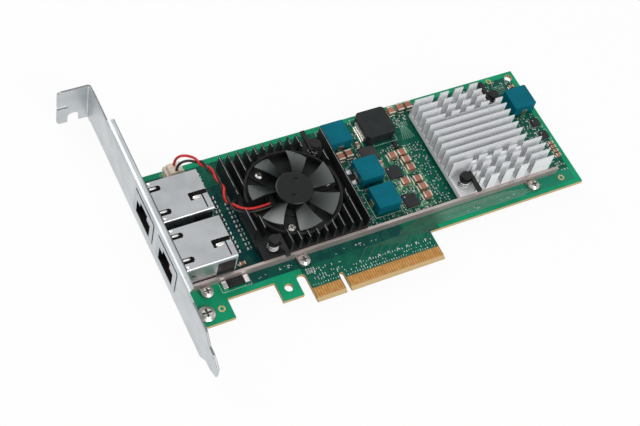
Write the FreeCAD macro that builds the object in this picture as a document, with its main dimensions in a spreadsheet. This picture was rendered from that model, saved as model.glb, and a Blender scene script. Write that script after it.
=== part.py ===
"""Two-port copper network interface card, as a parametric FreeCAD document.

Frame (millimetres): the origin is the centre of the key notch at the finger edge, on the component face
of the board.  +X runs along the board to its free end, +Y from the fingers to the top edge, +Z out of
the component face.
"""
import FreeCAD, Part
import math
import os
import re
import Sketcher
from FreeCAD import Placement, Rotation, Vector

SIZES = {
    # circuit board
    "board_thick": 1.57,
    "board_left": -56.9,
    "board_right": 108.6,
    "board_top": 68.9,
    "board_shoulder": 12.0,
    "foot_right": -42.5,
    "foot_bottom": 4.2,
    "tab_left": -24.3,
    "tab_right": -16.2,
    "tab_bottom": 4.0,
    "key_width": 1.9,
    "key_depth": 7.8,
    "hole_radius": 1.6,
    "hole_slack": 0.1,
    "bevel_height": 1.3,
    "bevel_depth": 0.45,
    "corner_hole_inset": 2.8,
    "tab_hole_up": 8.6,
    # gold fingers on the card edge
    "finger_pitch": 1.0,
    "finger_wide": 0.7,
    "finger_tall": 3.8,
    "finger_foil": 0.05,
    "finger_margin": 0.825,
    "short_run": 11,
    "long_run": 38,
    # slot bracket
    "sheet_thick": 0.86,
    "bracket_face": -59.05,
    "bracket_low": -4.0,
    "bracket_high": 14.42,
    "bracket_bend": 104.86,
    "bracket_tip": -15.16,
    "neck_start": 100.8,
    "neck_shift": 0.8,
    "tongue_start": -3.4,
    "tongue_width": 10.2,
    "tongue_tip_width": 5.4,
    "tongue_taper": 4.4,
    "corner_round": 1.5,
    "flange_inner_radius": 0.2,
    "tab_reach": 11.9,
    "bend_radius": 1.3,
    "flange_start": 11.4,
    "flange_end": 86.8,
    "flange_reach": 3.1,
    "flange_radius": 1.7,
    "notch_width": 4.4,
    "notch_corner": 2.0,
    "notch_depth": 4.9,
    "notch_reach": 5.6,
    "slit_width": 1.6,
    "slit_length": 4.2,
    "lug_width": 7.0,
    # socket ports
    "port_bar_gap": 0.4,
    "port_gap": 2.9,
    "port_width": 17.7,
    "port_height": 13.3,
    "port_rear": -36.4,
    "port_skin": 0.3,
    "port_corner": 0.8,
    "nose_corner": 1.2,
    "nose_proud": 0.2,
    "nose_width": 15.6,
    "nose_height": 11.4,
    "nose_lift": 0.7,
    "nose_gap": 0.15,
    "mouth_width": 11.8,
    "mouth_height": 6.8,
    "mouth_floor": 1.6,
    "mouth_depth": 14.0,
    "housing_gap": 0.05,
    "contact_front": 2.4,
    "contact_flat": 1.2,
    "contact_rise": 2.0,
    "latch_width": 6.0,
    "latch_height": 2.4,
    "contact_pitch": 1.02,
    "contact_count": 8,
    "contact_wide": 0.45,
    "contact_thick": 0.3,
    "slot_front": 3.55,
    "slot_rear": 7.65,
    "slot_width": 1.9,
    "slot_offset": 5.15,
    "leaf_width": 0.7,
    "slot_depth": 1.8,
    "side_front": 15.55,
    "side_rear": 22.25,
    "side_low": 3.0,
    "side_high": 11.4,
    "window_reach": 6.6,
    "window_edge": 2.1,
    "window_left": 3.5,
    "window_right": 0.2,
    "tongue_gap": 1.0,
    "strip_width": 1.0,
    "line_length": 4.3,
    "line_width": 0.3,
    "side_hole_in": 6.5,
    "side_hole_up": 8.0,
    "side_hole_radius": 0.7,
    # stiffener bar and its screws
    "bar_front": 18.6,
    "bar_thick": 1.0,
    "bar_height": 3.6,
    "bar_left": -54.6,
    "bar_right": 100.0,
    "ear_thick": 0.8,
    "ear_radius": 2.0,
    "screw_up": 16.2,
    "screw_left": -48.5,
    "screw_middle": -10.9,
    "screw_right": 87.7,
    "head_radius": 2.3,
    "head_height": 1.5,
    "thread_radius": 1.2,
    "nut_radius": 2.6,
    "nut_height": 1.2,
    # bracket screw
    "lug_screw_across": -51.9,
    "lug_screw_up": 8.5,
    "lug_head_radius": 3.1,
    "lug_head_height": 1.9,
    "lug_thread_radius": 1.5,
    # black heatsink
    "sink_across": -4.6,
    "sink_bar_gap": 0.2,
    "sink_size": 42.0,
    "sink_lift": 2.2,
    "sink_base": 2.2,
    "sink_top": 10.5,
    "sink_fin": 0.9,
    "sink_fin_tip": 0.6,
    "sink_fins": 13,
    "well_radius": 18.6,
    "pocket_across": 3.9,
    "pocket_up": 5.4,
    "pocket_radius": 3.9,
    "channel_width": 6.2,
    "wire_notch_low": 2.9,
    "wire_notch_high": 3.8,
    "cross_cut_up": 16.2,
    "cross_cut_wide": 1.3,
    "cross_cut_long": 20.4,
    # fan in the black heatsink
    "fan_floor": 0.8,
    "arm_width": 5.0,
    "fan_wall": 0.9,
    "fan_gap": 0.3,
    "fan_rim": 7.6,
    "fan_lug": 2.7,
    "hub_radius": 7.15,
    "hub_top": 10.2,
    "hub_wall": 0.9,
    "hub_bottom": 6.3,
    "hub_round": 0.8,
    "dimple_radius": 0.9,
    "dimple_depth": 0.4,
    "dimple_circle": 3.6,
    "blade_count": 7,
    "blade_turn": 5.7,
    "tip_clearance": 0.8,
    "blade_low": 6.6,
    "blade_high": 10.0,
    "blade_thick": 0.6,
    "root_chord": 3.2,
    "waist_chord": 5.9,
    "tip_chord": 9.4,
    "blade_sweep": 1.9,
    "shaft_radius": 0.75,
    "running_gap": 0.04,
    "bearing_wall": 0.9,
    "bearing_top": 8.7,
    "glue_gap": 0.05,
    "magnet_wall": 0.7,
    "stator_gap": 0.35,
    "stator_low": 6.0,
    "stator_high": 8.2,
    "stator_slot": 0.7,
    "fan_screw_inset": 4.3,
    "fan_screw_radius": 0.8,
    "fan_cap_radius": 1.6,
    "fan_cap_height": 0.9,
    "fan_board_radius": 9.4,
    "fan_board_thick": 0.5,
    # aluminium heatsink
    "cooler_gap": 9.4,
    "cooler_rear": 60.9,
    "cooler_long": 39.8,
    "cooler_short": 34.6,
    "cooler_lift": 1.8,
    "cooler_base": 2.2,
    "cooler_top": 12.2,
    "cooler_fin": 0.85,
    "cooler_fin_tip": 0.45,
    "cooler_rows": 14,
    "saw_width": 2.8,
    "saw_pitch": 6.65,
    "saw_first": 9.9,
    "saw_count": 4,
    "saw_radius": 14.0,
    "saw_rows": 4,
    "saw_inset": 1.6,
    "cooler_corner": 4.0,
    "cooler_narrow": 4.0,
    "cooler_narrow_from": 11.1,
    "pocket_slack": 0.2,
    "pocket_c_tall": 8.0,
    "pocket_d_wide": 6.0,
    "pocket_d_tall": 9.0,
    "base_clearance": 0.1,
    # spring push pins
    "pin_a_out": 5.11,
    "pin_b_out": 3.33,
    "pin_c_across": 3.4,
    "pin_c_up": 4.5,
    "pin_d_across": 1.5,
    "pin_d_up": 6.1,
    "pin_flange": 2.4,
    "pin_knob": 1.95,
    "pin_waist": 1.65,
    "pin_stem": 1.25,
    "pin_gap": 0.2,
    "pin_barb": 1.65,
    "pin_top": 10.4,
    "pin_cap": 2.0,
    "wing_off": 1.4,
    "wing_wide": 1.6,
    "wing_near": 7.2,
    "wing_far": 1.8,
    "wing_thick": 1.3,
    "pin_slit": 0.5,
    "pin_under": 3.0,
    "spring_wire": 0.3,
    "spring_radius": 1.95,
    "spring_turns": 3.5,
    # chips under the heatsinks
    "chip_size": 25.0,
    "chip_thick": 1.75,
    "chip_corner": 1.0,
    "bridge_size": 23.0,
    "bridge_thick": 1.4,
    # inductors
    "coil_size": 9.7,
    "coil_height": 5.2,
    "choke_size": 12.4,
    "choke_height": 5.2,
    "coil_round": 0.6,
    "choke_round": 1.6,
    "coil_a_gap": 2.25,
    "coil_a_inset": 3.05,
    "coil_b_gap": 6.85,
    "coil_b_step": 3.3,
    "coil_c_gap": 7.25,
    "coil_c_step": 5.05,
    "coil_d_side": 1.55,
    "coil_d_inset": 11.05,
    "choke_gap": 5.65,
    "foot_thick": 0.3,
    "foot_rise": 2.6,
    "foot_under": 2.0,
    "coil_foot": 2.4,
    "choke_foot": 7.8,
    # small parts on the board
    "cap_long": 3.2,
    "cap_wide": 2.5,
    "cap_tall": 1.9,
    "small_cap_long": 2.0,
    "small_cap_wide": 1.25,
    "small_cap_tall": 1.1,
    "resistor_long": 1.6,
    "resistor_wide": 0.8,
    "resistor_tall": 0.5,
    "quad_size": 5.2,
    "quad_tall": 0.9,
    "quad_gap": 2.9,
    "power_size": 6.4,
    "power_gap": 0.5,
    "power_front_gap": 0.05,
    "power_overhang": 2.5,
    "sense_gap": 0.45,
    "clock_size": 3.3,
    "column_pitch": 2.0,
    "left_column": -31.3,
    "right_column": -26.9,
    "column_start": 28.0,
    "left_count": 13,
    "right_count": 11,
    "edge_column": 105.3,
    "edge_start": 25.6,
    "edge_count": 4,
    "fuse_across": -37.5,
    "fuse_up": 16.7,
    "fuse_long": 9.6,
    "fuse_wide": 2.8,
    "fuse_tall": 1.3,
    "sense_long": 6.3,
    "sense_wide": 3.2,
    "sense_tall": 0.7,
    # fan connector and leads
    "header_left": -44.6,
    "header_port_gap": 2.7,
    "header_long": 6.8,
    "header_wide": 6.2,
    "header_tall": 5.6,
    "header_wall": 0.8,
    "header_floor": 1.2,
    "plug_gap": 0.1,
    "plug_top": 7.9,
    "pin_square": 0.64,
    "pin_pitch": 2.5,
    "lead_radius": 0.5,
    "lead_rise": 4.0,
    "lead_notch_low": 3.6,
    "lead_end_gap": 0.2,
}

doc = FreeCAD.newDocument("NetworkCard")
sheet = doc.addObject("Spreadsheet::Sheet", "Sizes")
for row, (alias, number) in enumerate(SIZES.items(), start=1):
    sheet.set(f"A{row}", alias)
    sheet.set(f"B{row}", str(number))
    sheet.setAlias(f"B{row}", alias)
doc.recompute()

NODES = []


# ---------------------------------------------------------------- helpers

def named(text):
    """Write an expression with each size's name pointing at its cell in the sheet."""
    return re.sub(r"[a-z][a-z_]*",
                  lambda word: "Sizes." + word[0] if word[0] in SIZES else word[0], str(text))


def bind(thing, prop, text):
    thing.setExpression(prop, named(text))


def place(thing, across, up, out):
    for axis, text in (("x", across), ("y", up), ("z", out)):
        bind(thing, f"Placement.Base.{axis}", text)
    return thing


def box(name, across, up, out):
    """A box from three (start, end) pairs of expressions."""
    piece = doc.addObject("Part::Box", name)
    for prop, (start, end) in zip(("Length", "Width", "Height"), (across, up, out)):
        bind(piece, prop, f"({end}) - ({start})")
    return place(piece, across[0], up[0], out[0])


def centred_box(name, centre, long, wide, out):
    """A box about a centre point (across, up): long in X, wide in Y, out from start to end in Z."""
    across, up = centre
    return box(name, (f"{across} - ({long}) / 2", f"{across} + ({long}) / 2"),
               (f"{up} - ({wide}) / 2", f"{up} + ({wide}) / 2"), out)


DIRECTIONS = {
    "x": Rotation(Vector(0, 1, 0), 90),
    "y": Rotation(Vector(1, 0, 0), -90),
    "z": Rotation(),
}


def cylinder(name, radius, centre, out, axis="z"):
    """A cylinder about a centre (across, up), or along X or Y from a start point."""
    piece = doc.addObject("Part::Cylinder", name)
    piece.Placement = Placement(Vector(), DIRECTIONS[axis])
    bind(piece, "Radius", radius)
    start, end = out
    bind(piece, "Height", f"({end}) - ({start})")
    corner = {"z": (*centre, start), "x": (start, *centre), "y": (centre[0], start, centre[1])}[axis]
    return place(piece, *corner)


def cone(name, low_radius, high_radius, centre, out):
    piece = doc.addObject("Part::Cone", name)
    bind(piece, "Radius1", low_radius)
    bind(piece, "Radius2", high_radius)
    bind(piece, "Height", f"({out[1]}) - ({out[0]})")
    return place(piece, *centre, out[0])


def fuse(name, pieces):
    joined = doc.addObject("Part::MultiFuse", name)
    joined.Shapes = pieces
    joined.Refine = True
    return joined


def cut(name, base, tools):
    result = doc.addObject("Part::Cut", name)
    result.Base = base
    result.Tool = tools[0] if len(tools) == 1 else fuse(name + "_tools", tools)
    return result


def group(name, pieces):
    """Several separate solids that share one node."""
    gathered = doc.addObject("Part::Compound", name)
    gathered.Links = pieces
    return gathered


def node(piece, label):
    """A finished sub-part: its label names its STEP file."""
    piece.Label = label
    NODES.append(piece)
    return piece


def new_body(name):
    body = doc.addObject("PartDesign::Body", name)
    body.AllowCompound = True
    return body


def outline(body, role, points, shift=0):
    """A closed sketch of straight lines on an origin plane, each corner tied to the sheet."""
    sketch = body.newObject("Sketcher::SketchObject", body.Name + "_outline")
    flat = next(item for item in body.Origin.OriginFeatures if item.Role == role)
    sketch.AttachmentSupport = [(flat, "")]
    sketch.MapMode = "FlatFace"
    bind(sketch, "AttachmentOffset.Base.z", shift)
    count = len(points)
    angles = [2 * math.pi * k / count for k in range(count)]
    corners = [Vector(math.cos(angle), math.sin(angle), 0) for angle in angles]
    for k in range(count):
        sketch.addGeometry(Part.LineSegment(corners[k], corners[(k + 1) % count]), False)
    for k in range(count):
        sketch.addConstraint(Sketcher.Constraint("Coincident", k, 2, (k + 1) % count, 1))
    for k, corner in enumerate(points):
        for kind, start, text in zip(("DistanceX", "DistanceY"), corners[k], corner):
            line = sketch.addConstraint(Sketcher.Constraint(kind, -1, 1, k, 1, start))
            bind(sketch, f"Constraints[{line}]", text)
    return sketch


def pad(body, sketch, length, reverse=False):
    feature = body.newObject("PartDesign::Pad", body.Name + "_pad")
    feature.Profile = sketch
    feature.Reversed = reverse
    bind(feature, "Length", length)
    return feature


def soften(body, kind, sizes, wanted):
    """A fillet or chamfer on the edges of a body whose middle point passes a test."""
    doc.recompute()
    before = body.Tip
    edges = []
    for index, edge in enumerate(before.Shape.Edges, start=1):
        middle = edge.valueAt((edge.FirstParameter + edge.LastParameter) / 2)
        if wanted(edge, middle):
            edges.append(f"Edge{index}")
    feature = body.newObject("PartDesign::" + kind, body.Name + "_" + kind.lower())
    feature.Base = (before, edges)
    for prop, text in sizes.items():
        bind(feature, prop, text)
    return feature


def along(edge, axis):
    """Whether a straight edge runs along X, Y or Z."""
    ends = edge.Vertexes[0].Point, edge.Vertexes[-1].Point
    span = [abs(getattr(ends[1] - ends[0], letter)) for letter in "xyz"]
    return len(edge.Vertexes) == 2 and span.index(max(span)) == "xyz".index(axis) and sorted(span)[1] < 1e-6


def near(value, text):
    """Whether a coordinate lies where an expression of the sheet's names puts it."""
    return abs(value - sheet.evalExpression(named(text))) < 1e-4


def pocket(body, sketch, depth):
    """Cut a sketch's outline into a body, against the sketch's normal."""
    feature = body.newObject("PartDesign::Pocket", body.Name + "_pocket")
    feature.Profile = sketch
    bind(feature, "Length", depth)
    return feature


def repeat(body, feature, axis, count, pitch):
    """A row of copies of one feature along an origin axis."""
    row = body.newObject("PartDesign::LinearPattern", body.Name + "_row")
    row.Originals = [feature]
    row.Direction = (next(item for item in body.Origin.OriginFeatures if item.Role == axis), [""])
    bind(row, "Occurrences", count)
    bind(row, "Length", f"({pitch}) * (({count}) - 1)")
    body.Tip = row
    return row


def rectangle(across, up):
    """The four corners of a rectangle from two (start, end) pairs."""
    return [(across[0], up[0]), (across[1], up[0]), (across[1], up[1]), (across[0], up[1])]


def around(centre, radius, degrees):
    """A point at a radius and angle from a centre."""
    cosine, sine = math.cos(math.radians(degrees)), math.sin(math.radians(degrees))
    return (f"({centre[0]} + ({radius}) * {cosine:.6f})", f"({centre[1]} + ({radius}) * {sine:.6f})")


# ---------------------------------------------------------------- places that pieces share

FINGERS_LEFT = "-(key_width / 2 + (short_run - 1) * finger_pitch + 2 * finger_margin)"
FINGERS_RIGHT = "(key_width / 2 + (long_run - 1) * finger_pitch + 2 * finger_margin)"
BOARD_UNDER = "-board_thick"
PORT_FRONT = "(bracket_face + sheet_thick)"
BAR_REAR = "(bar_front + bar_thick)"
PORT_B = f"({BAR_REAR} + port_bar_gap + port_width / 2)"
PORT_A = f"({PORT_B} + port_width + port_gap)"
PORTS = {"a": PORT_A, "b": PORT_B}
TAB_HOLE = ("(tab_left + tab_right) / 2", "tab_hole_up")
CORNER_HOLE = ("(board_right - corner_hole_inset)", "(board_top - corner_hole_inset)")
LUG_SCREW = ("lug_screw_across", "lug_screw_up")
BAR_SCREWS = [("screw_left", "screw_up"), ("screw_middle", "screw_up"), ("screw_right", "screw_up")]
SINK_UP = f"({BAR_REAR} + sink_bar_gap + sink_size / 2)"
SINK = ("sink_across", SINK_UP)
SINK_SIDE = "(sink_across + sink_size / 2)"
SINK_PINS = [around(SINK, "well_radius + pin_a_out", 227.56), around(SINK, "well_radius + pin_b_out", 43.52)]
BLADE_TIP = "(well_radius - fan_gap - fan_wall - tip_clearance)"
COIL_A = (f"({SINK_SIDE} + coil_a_gap + coil_size / 2)", "(board_top - coil_a_inset - coil_size / 2)")
COIL_C = (f"({SINK_SIDE} + coil_c_gap + coil_size / 2)", f"({BAR_REAR} + coil_c_step + coil_size / 2)")
COIL_B = (f"({SINK_SIDE} + coil_b_gap + coil_size / 2)", f"({COIL_C[1]} + coil_size + coil_b_step)")
COIL_D = ("(board_right - coil_d_side - coil_size / 2)", "(board_top - coil_d_inset - coil_size / 2)")
POWER_UP = f"({COIL_B[1]} + coil_size / 2 + power_front_gap + power_size / 2)"
CHOKE = (f"({COIL_A[0]} + coil_size / 2 + choke_gap + choke_size / 2)",
         f"({POWER_UP} + power_size / 2 + power_gap + choke_size / 2)")
COOLER_LEFT = f"({CHOKE[0]} + choke_size / 2 + cooler_gap)"
COOLER_RIGHT = f"({COOLER_LEFT} + cooler_long)"
COOLER_STEP = f"({COOLER_LEFT} + cooler_short)"
COOLER_FRONT = f"({BAR_REAR} + base_clearance)"
COOLER_PINS = [(f"({COOLER_LEFT} + pin_c_across)", f"({COOLER_FRONT} + pin_c_up)"),
               (f"({COOLER_STEP} - pin_d_across)", "(cooler_rear - pin_d_up)")]


# ---------------------------------------------------------------- board and bracket

def circuit_board():
    """Fibreglass board: foot, keying cut-out, tab, hook slot and bevelled finger edge, with its holes."""
    body = new_body("Board")
    points = [
        ("board_left", "foot_bottom"), ("foot_right", "foot_bottom"),
        ("foot_right", "board_shoulder"), ("tab_left", "board_shoulder"),
        ("tab_left", "tab_bottom"), ("tab_right", "tab_bottom"),
        ("tab_right", "board_shoulder"), (FINGERS_LEFT, "board_shoulder"),
        (FINGERS_LEFT, "0"), ("-key_width / 2", "0"),
        ("-key_width / 2", "key_depth"), ("key_width / 2", "key_depth"),
        ("key_width / 2", "0"), (FINGERS_RIGHT, "0"),
        (FINGERS_RIGHT, "board_shoulder"), ("board_right", "board_shoulder"),
        ("board_right", "board_top"), ("board_left", "board_top"),
    ]
    pad(body, outline(body, "XY_Plane", points), "board_thick", reverse=True)
    soften(body, "Fillet", {"Radius": "key_width * 0.45"},
           lambda edge, middle: along(edge, "z") and near(middle.y, "key_depth"))
    soften(body, "Fillet", {"Radius": f"({FINGERS_LEFT} - tab_right) * 0.45"},
           lambda edge, middle: along(edge, "z") and near(middle.y, "board_shoulder")
           and (near(middle.x, "tab_right") or near(middle.x, FINGERS_LEFT)))
    for face, inward in (("0", "-"), (BOARD_UNDER, "+")):
        bevel = [("0", face), ("bevel_height", face), ("0", f"{face} {inward} bevel_depth")]
        pocket(body, outline(body, "YZ_Plane", bevel, FINGERS_RIGHT), f"{FINGERS_RIGHT} - {FINGERS_LEFT}")
    holes = {"hole_radius": [TAB_HOLE, CORNER_HOLE], "lug_thread_radius + hole_slack": [LUG_SCREW],
             "thread_radius + hole_slack": BAR_SCREWS, "pin_stem + pin_gap": SINK_PINS + COOLER_PINS}
    drills = [cylinder("board_drill", radius, centre, ("-board_thick * 2", "board_thick"))
              for radius, centres in holes.items() for centre in centres]
    return node(cut("board_drilled", body, drills), "circuit_board")


def edge_contacts():
    """Gold fingers on both faces, in a short and a long run either side of the key notch."""
    pads = []
    rise = ("bevel_height", "bevel_height + finger_tall")
    for side, count in ((-1, "short_run"), (1, "long_run")):
        for k in range(int(SIZES[count])):
            middle = f"{side} * (key_width / 2 + finger_margin + {k} * finger_pitch)"
            across = (f"{middle} - finger_wide / 2", f"{middle} + finger_wide / 2")
            pads.append(box("finger", across, rise, ("0", "finger_foil")))
            pads.append(box("finger", across, rise, ("-board_thick - finger_foil", BOARD_UNDER)))
    return node(group("fingers", pads), "edge_contacts")


def bracket():
    """Folded steel slot bracket: plate with two port openings, tongue, stiffening flange, screw tab and lug."""
    body = new_body("Bracket")
    middle = "(bracket_low + bracket_high) / 2"
    spread = "(bracket_high - bracket_low - tongue_width) / 2"
    plate = [
        ("bracket_tip", f"{middle} - tongue_tip_width / 2"),
        ("bracket_tip + tongue_taper", f"{middle} - tongue_width / 2"),
        (f"tongue_start - {spread}", f"{middle} - tongue_width / 2"),
        ("tongue_start", "bracket_low"),
        ("neck_start", "bracket_low"),
        ("neck_start + neck_shift", "bracket_low - neck_shift"),
        ("bracket_bend", "bracket_low - neck_shift"),
        ("bracket_bend", "bracket_high - neck_shift"),
        ("neck_start + neck_shift", "bracket_high - neck_shift"),
        ("neck_start", "bracket_high"),
        ("tongue_start", "bracket_high"),
        (f"tongue_start - {spread}", f"{middle} + tongue_width / 2"),
        ("bracket_tip + tongue_taper", f"{middle} + tongue_width / 2"),
        ("bracket_tip", f"{middle} + tongue_tip_width / 2"),
    ]
    pad(body, outline(body, "YZ_Plane", plate, "bracket_face"), "sheet_thick")
    flange_edge = "bracket_face + flange_reach"
    flange = [("bracket_face", "flange_start"), (flange_edge, "flange_start + flange_reach / 2"),
              (flange_edge, "flange_end"), ("bracket_face", "flange_end")]
    pad(body, outline(body, "XY_Plane", flange, "bracket_high - sheet_thick"), "sheet_thick")
    tab_up = ("bracket_low - neck_shift", "bracket_high - neck_shift")
    tab = rectangle(("bracket_face - tab_reach", PORT_FRONT), tab_up)
    pad(body, outline(body, "XZ_Plane", tab, "-bracket_bend"), "sheet_thick")
    lug = rectangle(("bracket_face", "lug_screw_across + lug_width / 2"),
                    ("lug_screw_up - lug_width / 2", "lug_screw_up + lug_width / 2"))
    pad(body, outline(body, "XY_Plane", lug, BOARD_UNDER), "sheet_thick", reverse=True)
    soften(body, "Fillet", {"Radius": "flange_radius"},
           lambda edge, middle: along(edge, "y") and near(middle.x, "bracket_face")
           and near(middle.z, "bracket_high"))
    soften(body, "Fillet", {"Radius": "flange_inner_radius"},
           lambda edge, middle: along(edge, "y") and near(middle.x, PORT_FRONT)
           and near(middle.z, "bracket_high - sheet_thick"))
    soften(body, "Fillet", {"Radius": "bend_radius"},
           lambda edge, middle: along(edge, "z") and near(middle.x, PORT_FRONT)
           and near(middle.y, "bracket_bend"))
    soften(body, "Fillet", {"Radius": "bend_radius - sheet_thick"},
           lambda edge, middle: along(edge, "z") and near(middle.x, "bracket_face")
           and near(middle.y, "bracket_bend - sheet_thick"))
    soften(body, "Fillet", {"Radius": "corner_round"},
           lambda edge, middle: along(edge, "y") and near(middle.x, "bracket_face - tab_reach"))
    for centre in PORTS.values():
        nose = rectangle((f"{centre} - nose_width / 2 - nose_gap", f"{centre} + nose_width / 2 + nose_gap"),
                         ("nose_lift - nose_gap", "nose_lift + nose_height + nose_gap"))
        pocket(body, outline(body, "YZ_Plane", nose, PORT_FRONT), "sheet_thick")
        soften(body, "Fillet", {"Radius": "nose_corner + nose_gap"},
               lambda edge, middle: along(edge, "x") and abs(middle.y - value(centre)) < SIZES["port_width"] / 2
               and not near(middle.z, "bracket_high") and middle.z > 0)
    tab_under = "-(bracket_bend - sheet_thick)"
    notch_right = "(bracket_face - notch_reach + notch_width / 2)"
    notch = rectangle((f"{notch_right} - notch_width", notch_right),
                      (f"{tab_up[0]} - 1", f"{tab_up[0]} + notch_depth"))
    pocket(body, outline(body, "XZ_Plane", notch, tab_under), "sheet_thick")
    soften(body, "Fillet", {"Radius": "notch_corner"},
           lambda edge, middle: along(edge, "y") and near(middle.z, f"{tab_up[0]} + notch_depth"))
    slit_middle = "(bracket_low + bracket_high) / 2 - neck_shift"
    slit = rectangle(("bracket_face - tab_reach - 1", "bracket_face - tab_reach + slit_length"),
                     (f"{slit_middle} - slit_width / 2", f"{slit_middle} + slit_width / 2"))
    pocket(body, outline(body, "XZ_Plane", slit, tab_under), "sheet_thick")
    tapping = cylinder("lug_tapping", "lug_thread_radius + hole_slack", LUG_SCREW, ("-board_thick * 3", "0"))
    return node(cut("bracket_tapped", body, [tapping]), "bracket")


def screw(name, centre, seat, tip, head, thread):
    """Pan-head screw: a domed head on a seat, its shank down to the tip, and a cross recess."""
    across, up = centre
    low = cylinder(name + "_head", f"{head}_radius", centre, (seat, f"{seat} + {head}_height * 0.55"))
    top = cone(name + "_dome", f"{head}_radius", f"{head}_radius * 0.55", centre,
               (f"{seat} + {head}_height * 0.55", f"{seat} + {head}_height"))
    shank = cylinder(name + "_shank", thread, centre, (tip, seat))
    recess_out = (f"{seat} + {head}_height * 0.4", f"{seat} + {head}_height + 1")
    long, wide = f"{head}_radius * 1.1", f"{head}_radius * 0.25"
    bars = [centred_box(name + "_recess", centre, *sides, recess_out) for sides in ((long, wide), (wide, long))]
    return cut(name, fuse(name + "_solid", [low, top, shank]), bars)


def bracket_screw():
    """Screw through the board's foot into the bracket's lug."""
    return node(screw("lug_screw", LUG_SCREW, "0", "-board_thick - sheet_thick * 2", "lug_head",
                      "lug_thread_radius"), "bracket_screw")


def stiffener():
    """Flat steel bar on edge across the board, with three drilled ears under its screws, and its nuts."""
    bar = box("bar_blade", ("bar_left", "bar_right"), ("bar_front", BAR_REAR), ("0", "bar_height"))
    ears = []
    for across, up in BAR_SCREWS:
        ears.append(cylinder("bar_ear_end", "ear_radius", (across, up), ("0", "ear_thick")))
        ears.append(box("bar_ear", (f"{across} - ear_radius", f"{across} + ear_radius"), (up, BAR_REAR),
                        ("0", "ear_thick")))
    drills = [cylinder("bar_drill", "thread_radius + hole_slack", spot, ("-1", "ear_thick + 1"))
              for spot in BAR_SCREWS]
    node(cut("bar_drilled", fuse("bar_solid", [bar] + ears), drills), "stiffener_bar")
    nut_under = f"{BOARD_UNDER} - nut_height"
    screws = [screw("bar_screw", spot, "ear_thick", nut_under, "head", "thread_radius") for spot in BAR_SCREWS]
    node(group("bar_screws", screws), "stiffener_screws")
    nuts = []
    for across, up in BAR_SCREWS:
        hexagon = doc.addObject("Part::Prism", "nut_blank")
        hexagon.Polygon = 6
        bind(hexagon, "Circumradius", "nut_radius")
        bind(hexagon, "Height", "nut_height")
        place(hexagon, across, up, nut_under)
        bore = cylinder("nut_bore", "thread_radius + hole_slack / 2", (across, up), (f"{nut_under} - 1", "0"))
        nuts.append(cut("nut", hexagon, [bore]))
    node(group("bar_nuts", nuts), "stiffener_nuts")


# ---------------------------------------------------------------- socket ports

def port_form(name, centre, inset):
    """A port's outer form, drawn in by an inset: the body on the board and the nose through the bracket."""
    body = new_body(name)
    sides = (f"{centre} - port_width / 2 + {inset}", f"{centre} + port_width / 2 - {inset}")
    pad(body, outline(body, "YZ_Plane", rectangle(sides, ("0", f"port_height - {inset}")),
                      f"{PORT_FRONT} + {inset}"), f"port_rear - {PORT_FRONT} - 2 * {inset}")
    nose_sides = (f"{centre} - nose_width / 2 + {inset}", f"{centre} + nose_width / 2 - {inset}")
    nose_heights = (f"nose_lift + {inset}", f"nose_lift + nose_height - {inset}")
    pad(body, outline(body, "YZ_Plane", rectangle(nose_sides, nose_heights), "bracket_face - nose_proud"),
        f"sheet_thick + nose_proud + {inset}")
    soften(body, "Fillet", {"Radius": f"nose_corner - {inset}"},
           lambda edge, middle: along(edge, "x") and middle.x < SIZES["bracket_face"] + SIZES["sheet_thick"])
    soften(body, "Fillet", {"Radius": f"port_corner - {inset}"},
           lambda edge, middle: along(edge, "x") and near(middle.z, f"port_height - {inset}"))
    return body


def port_shell(letter, centre):
    """Folded steel shell, open below and at its mouth, with spring slots, a rear window and a side window."""
    body = port_form(f"Shell_{letter}", centre, "0")
    doc.recompute()
    solid = body.Tip
    nose_face = "bracket_face - nose_proud"
    open_faces = [f"Face{index}" for index, face in enumerate(solid.Shape.Faces, start=1)
                  if near(face.BoundBox.ZMax, "0") or near(face.BoundBox.XMax, nose_face)]
    thickness = body.newObject("PartDesign::Thickness", "shell_wall")
    thickness.Base = (solid, open_faces)
    thickness.Reversed = True
    thickness.Join = 1
    bind(thickness, "Value", "port_skin")
    body.Tip = thickness
    roof = ("port_height - port_skin * 2", "port_height + 1")
    slot = (f"{nose_face} + slot_front", f"{nose_face} + slot_rear")
    openings = []
    for side in (-1, 1):
        middle = f"{centre} + {side} * slot_offset"
        frame = box("slot", slot, (f"{middle} - slot_width / 2", f"{middle} + slot_width / 2"), roof)
        leaf = box("slot_leaf", (slot[0], f"{slot[1]} - leaf_width / 2"),
                   (f"{middle} - leaf_width / 2", f"{middle} + leaf_width / 2"), roof)
        openings.append(cut("slot_round_leaf", frame, [leaf]))
    window_up = (f"{centre} - window_left", f"{centre} - window_right")
    window = box("rear_window", ("port_rear - window_reach", "port_rear - window_edge"), window_up, roof)
    tongue_across = ("port_rear - window_reach + tongue_gap", "port_rear - window_edge - line_width")
    tongue = box("window_tongue", tongue_across, (window_up[0], f"{window_up[1]} - strip_width"), roof)
    openings.append(cut("window_round_tongue", window, [tongue]))
    openings.append(box("window_strip", ("port_rear - window_edge - line_width", "port_rear + 1"),
                        (f"{window_up[1]} - strip_width", window_up[1]), roof))
    openings.append(box("window_line", ("port_rear - window_edge - line_width", "port_rear - window_edge"),
                        (f"{window_up[0]} - line_length", window_up[1]), roof))
    openings.append(box("side_window", (f"{nose_face} + side_front", f"{nose_face} + side_rear"),
                        (f"{centre} - port_width / 2 - 1", f"{centre} - port_width / 2 + port_skin * 2"),
                        ("side_low", "side_high")))
    openings.append(cylinder("side_hole", "side_hole_radius", (f"{nose_face} + side_hole_in", "side_hole_up"),
                             (f"{centre} - port_width / 2 - 1", f"{centre} - port_width / 2 + port_skin * 2"),
                             axis="y"))
    return node(cut(f"shell_cut_{letter}", body, openings), f"port_{letter}_shell")


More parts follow.
